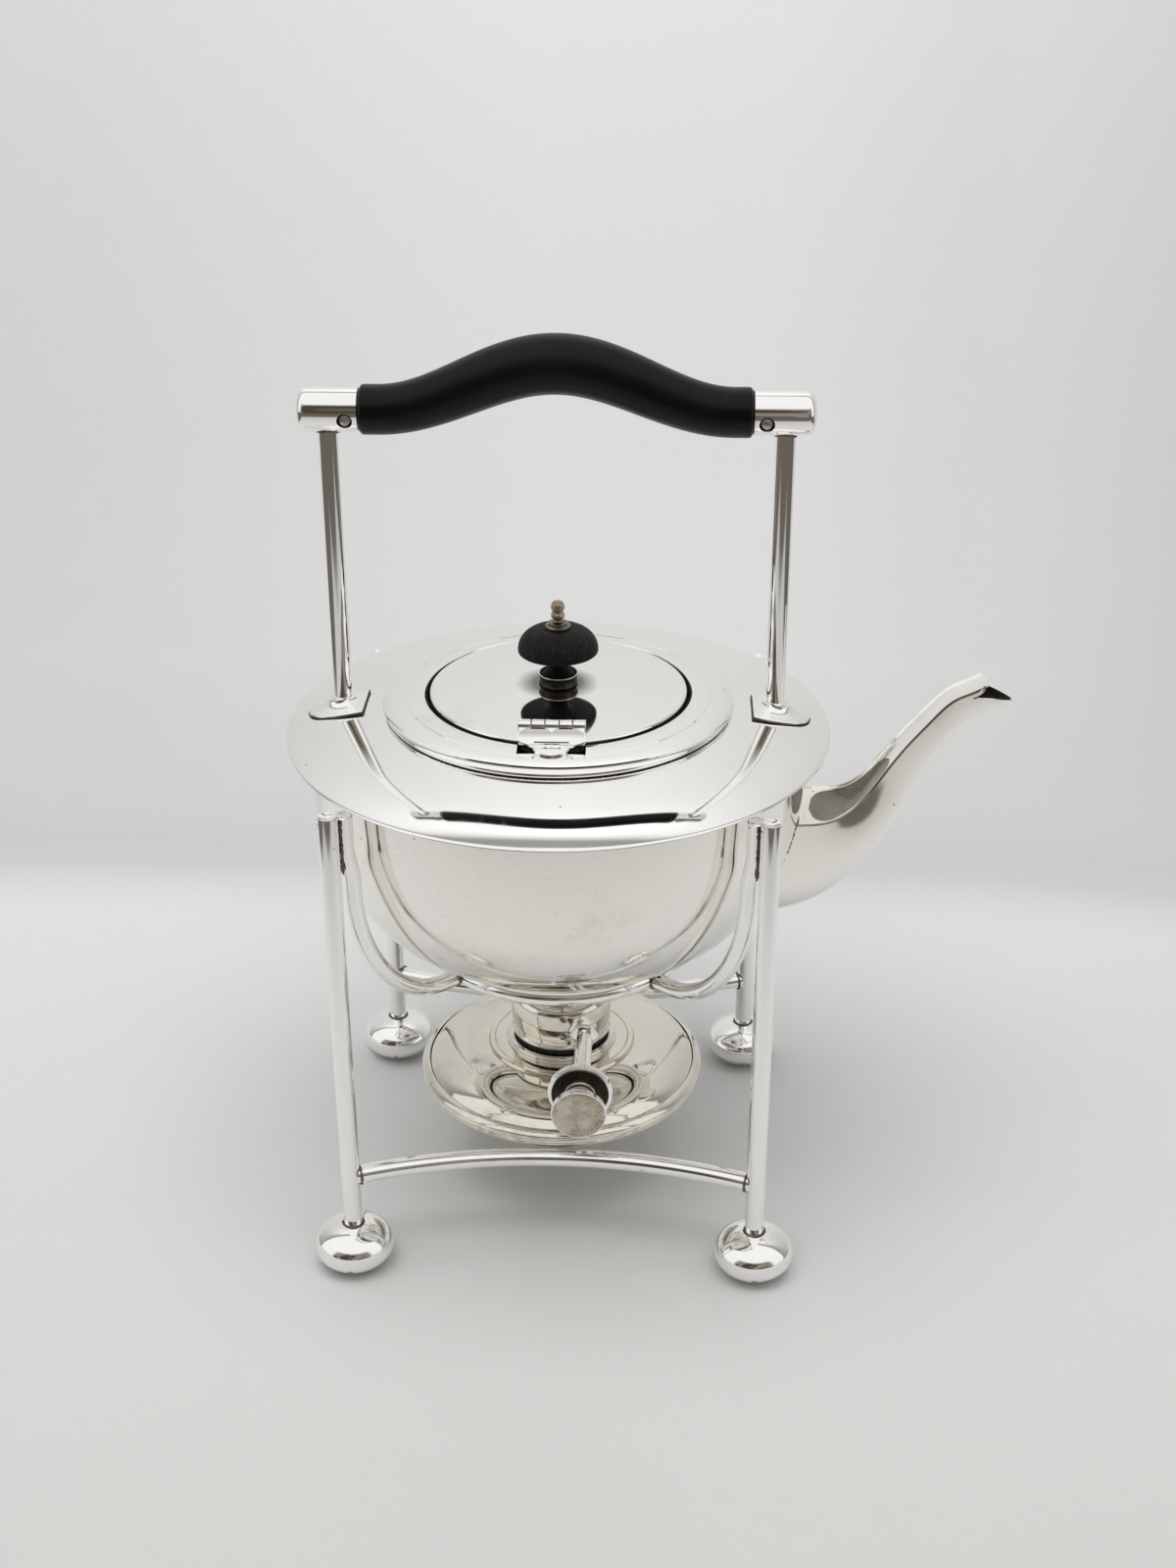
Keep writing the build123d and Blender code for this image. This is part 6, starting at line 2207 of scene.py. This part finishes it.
@dataclass
class Studio:
    """A pale seamless sweep inside a bright white tent."""

    cloth: ClothTones = field(default_factory=ClothTones)
    tent: TentTones = field(default_factory=TentTones)
    wall_y: float = 0.235
    half_width: float = 2.2
    front: float = -2.4
    height: float = 1.6
    fold_x: float = 0.143
    fold_turn: float = 0.16
    lamp_power: float = 6.2
    fill_low: float = 0.28
    fill_high: float = 1.2

    def build(self) -> None:
        """Builds the sweep, the tent's light and the soft lamp."""
        sweep = self._sweep()
        lamp = self._lamp()
        self._tent()

    def _profile(self, turn: float) -> list[Pair]:
        """Gives the sweep's (y, z) outline, with its wall moved forwards by turn."""
        wall = self.wall_y - turn
        points = [(self.front, 0.0), (-1.2, 0.0), (-0.6, 0.0), (-0.3, 0.0), (0.0, 0.0), (wall - 0.11, 0.0)]
        points += bezier(
            (wall - 0.08, 0.0), (wall - 0.02, 0.0), (wall + 0.01, 0.02), (wall + 0.015, 0.09), 24
        )
        points += [(wall + 0.03, 0.25), (wall + 0.055, 0.5), (wall + 0.1, 0.9), (wall + 0.17, self.height)]
        return points

    def _sweep(self) -> Object:
        """Makes the floor and back wall as one thick sheet with a soft fold at the right."""
        stops = [-self.half_width, -1.0, -0.5, -0.2, 0.0, self.fold_x - 0.012, self.fold_x - 0.004]
        stops += [self.fold_x + 0.004, self.fold_x + 0.012, 0.3, 0.6, 1.2, self.half_width]
        rings = []
        for x in stops:
            turn = max(0.0, x - self.fold_x) * self.fold_turn
            face = self._profile(turn)
            back = [(y + 0.03, z - 0.03) for y, z in reversed(face)]
            rings.append([Vector((x, y, z)) for y, z in face + back])
        mesh = lofted(rings)
        bmesh.ops.recalc_face_normals(mesh, faces=mesh.faces)
        data = bpy.data.meshes.new("studio_sweep")
        mesh.to_mesh(data)
        mesh.free()
        data.materials.append(self._cloth())
        data.shade_smooth()
        data.set_sharp_from_angle(angle=math.radians(40))
        sweep = bpy.data.objects.new("studio_sweep", data)
        bpy.context.scene.collection.objects.link(sweep)
        LOG.info("studio_sweep: %d faces", len(data.polygons))
        return sweep

    def _cloth(self) -> Material:
        """Makes the sweep's pale matt finish with painted light: painted shade near the camera, in the turn
        above the floor and at the wall's sides, a wall painted brighter than the floor, and darker far edges
        of the floor.
        """
        bench = MaterialBench("pale_sweep_with_painted_light")
        board = bench.board
        spot = board.add("ShaderNodeSeparateXYZ", {0: bench.where})
        wide = board.math("ABSOLUTE", spot.outputs[0])
        edge = board.math("MAXIMUM", board.ramp(wide, 0.46, 0.54), board.ramp(spot.outputs[1], -0.52, -0.64))
        # Painted shade: the floor darker towards the camera.
        front_shade_share = board.ramp(spot.outputs[1], -0.42, 0.16, 0.75, 0.0)
        # Painted shade: the wall darker towards its sides.
        aside = board.ramp(wide, 0.05, 0.24, 0.0, 0.3)
        cloud = bench.noise(3.0, 4.0)
        rise = board.ramp(spot.outputs[2], 0.012, 0.085)
        # Painted shade in the crease where the floor turns up into the wall.
        turn = board.math(
            "MULTIPLY", board.ramp(spot.outputs[2], 0.0004, 0.006), board.math("SUBTRACT", 1.0, rise)
        )
        tones = self.cloth
        pale = board.blend(board.ramp(cloud, 0.3, 0.7), tones.floor_low, tones.floor_high)
        pale = board.blend(front_shade_share, pale, tones.front)
        pale = board.blend(turn, pale, tones.turn)
        # Painted shade on the wall's right side, and the wall painted brighter than the floor.
        right = board.ramp(spot.outputs[0], 0.05, 0.24, 0.0, 0.2)
        wall_with_side_shade = board.blend(board.math("ADD", aside, right), tones.wall, tones.wall_side_shade)
        wall = board.blend(rise, pale, wall_with_side_shade)
        floor_only = board.ramp(spot.outputs[2], 0.05, 0.02)
        colour = board.blend(board.math("MULTIPLY", edge, floor_only), wall, tones.edge)
        weave = bench.noise(420.0, 2.0)
        return bench.finish(colour, board.ramp(weave, 0.3, 0.7, 0.7, 0.9), weave, 0.00006)

    def _lamp(self) -> Object:
        """Makes the broad lamp above the tent, kept out of reflections."""
        light = bpy.data.lights.new("tent_lamp", "AREA")
        light.shape = "RECTANGLE"
        light.size, light.size_y = 0.9, 0.7
        light.energy = self.lamp_power
        light.color = (1.0, 1.0, 1.0)
        lamp = bpy.data.objects.new("tent_lamp", light)
        lamp.location = (-0.08, -0.2, 1.05)
        lamp.rotation_euler = (math.radians(16), math.radians(-4), 0.0)
        lamp.visible_glossy = False
        lamp.visible_camera = False
        bpy.context.scene.collection.objects.link(lamp)
        return lamp

    def _tent(self) -> None:
        """Makes the tent's light: bright above and at the sides, darker and warm at the open front."""
        world = bpy.data.worlds.new("tent")
        world.use_nodes = True
        world.node_tree.nodes.clear()
        board = Board(world.node_tree)
        way = board.add("ShaderNodeTexCoord").outputs["Object"]
        axes = board.add("ShaderNodeSeparateXYZ", {0: way})
        front = board.ramp(axes.outputs[1], -0.52, -0.66)
        low = board.ramp(axes.outputs[2], 0.62, 0.50)
        opening = board.math("MULTIPLY", front, low)
        cloud = board.add("ShaderNodeTexNoise", {"Vector": way, "Scale": 2.2, "Detail": 3.0})
        up = board.ramp(axes.outputs[2], 0.0, 0.9)
        tones = self.tent
        walls = board.blend(up, tones.walls_low, tones.walls_top)
        walls = board.blend(board.ramp(cloud.outputs["Fac"], 0.3, 0.75, 0.0, 0.08), walls, tones.cloud)
        room = board.blend(board.ramp(cloud.outputs["Fac"], 0.45, 0.55), tones.room_dark, tones.room_light)
        colour = board.blend(opening, walls, room)
        ray = board.add("ShaderNodeLightPath")
        fill = board.ramp(axes.outputs[2], 0.05, 0.75, self.fill_low, self.fill_high)
        soft = board.math("MULTIPLY", ray.outputs["Is Diffuse Ray"], board.math("SUBTRACT", fill, 1.0))
        strength = board.math("ADD", soft, 1.0)
        sky = board.add("ShaderNodeBackground", {"Color": colour, "Strength": strength})
        out = board.add("ShaderNodeOutputWorld")
        board.feed(out.inputs["Surface"], sky.outputs[0])
        bpy.context.scene.world = world


@dataclass(frozen=True)
class Eye:
    """The camera: its place in metres, its turn in degrees and its lens."""

    place: Triple = (0.00345, -0.6195, 0.4589)
    pitch: float = 26.53
    yaw: float = -2.15
    roll: float = -0.12
    lens: float = 47.84
    sensor: float = 36.0

    def build(self) -> None:
        """Makes the scene's camera."""
        data = bpy.data.cameras.new("main_camera")
        data.sensor_fit = "VERTICAL"
        data.sensor_height = self.sensor
        data.lens = self.lens
        data.clip_start = 0.01
        camera = bpy.data.objects.new("main_camera", data)
        pitch, yaw = math.radians(self.pitch), math.radians(self.yaw)
        forward = Vector((math.sin(yaw) * math.cos(pitch), math.cos(yaw) * math.cos(pitch), -math.sin(pitch)))
        turn = forward.to_track_quat("-Z", "Y").to_matrix().to_4x4() @ Matrix.Rotation(
            math.radians(self.roll), 4, "Z"
        )
        camera.matrix_world = Matrix.Translation(Vector(self.place)) @ turn
        bpy.context.scene.collection.objects.link(camera)
        bpy.context.scene.camera = camera


def main() -> None:
    """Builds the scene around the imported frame."""
    logging.basicConfig(level=logging.INFO, format="%(name)s: %(message)s")
    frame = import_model()
    shop = Workshop(frame)
    body = KettleBody(shop)
    Stand(shop).build()
    body.build()
    Spout(shop, body).build()
    Handle(shop, body).build()
    Lid(shop).build()
    Hinge(shop).build()
    Burner(shop).build()
    Winder(shop).build()
    Studio().build()
    Eye().build()
    bpy.context.scene.view_settings.view_transform = "Standard"


if __name__ == "__main__":
    main()
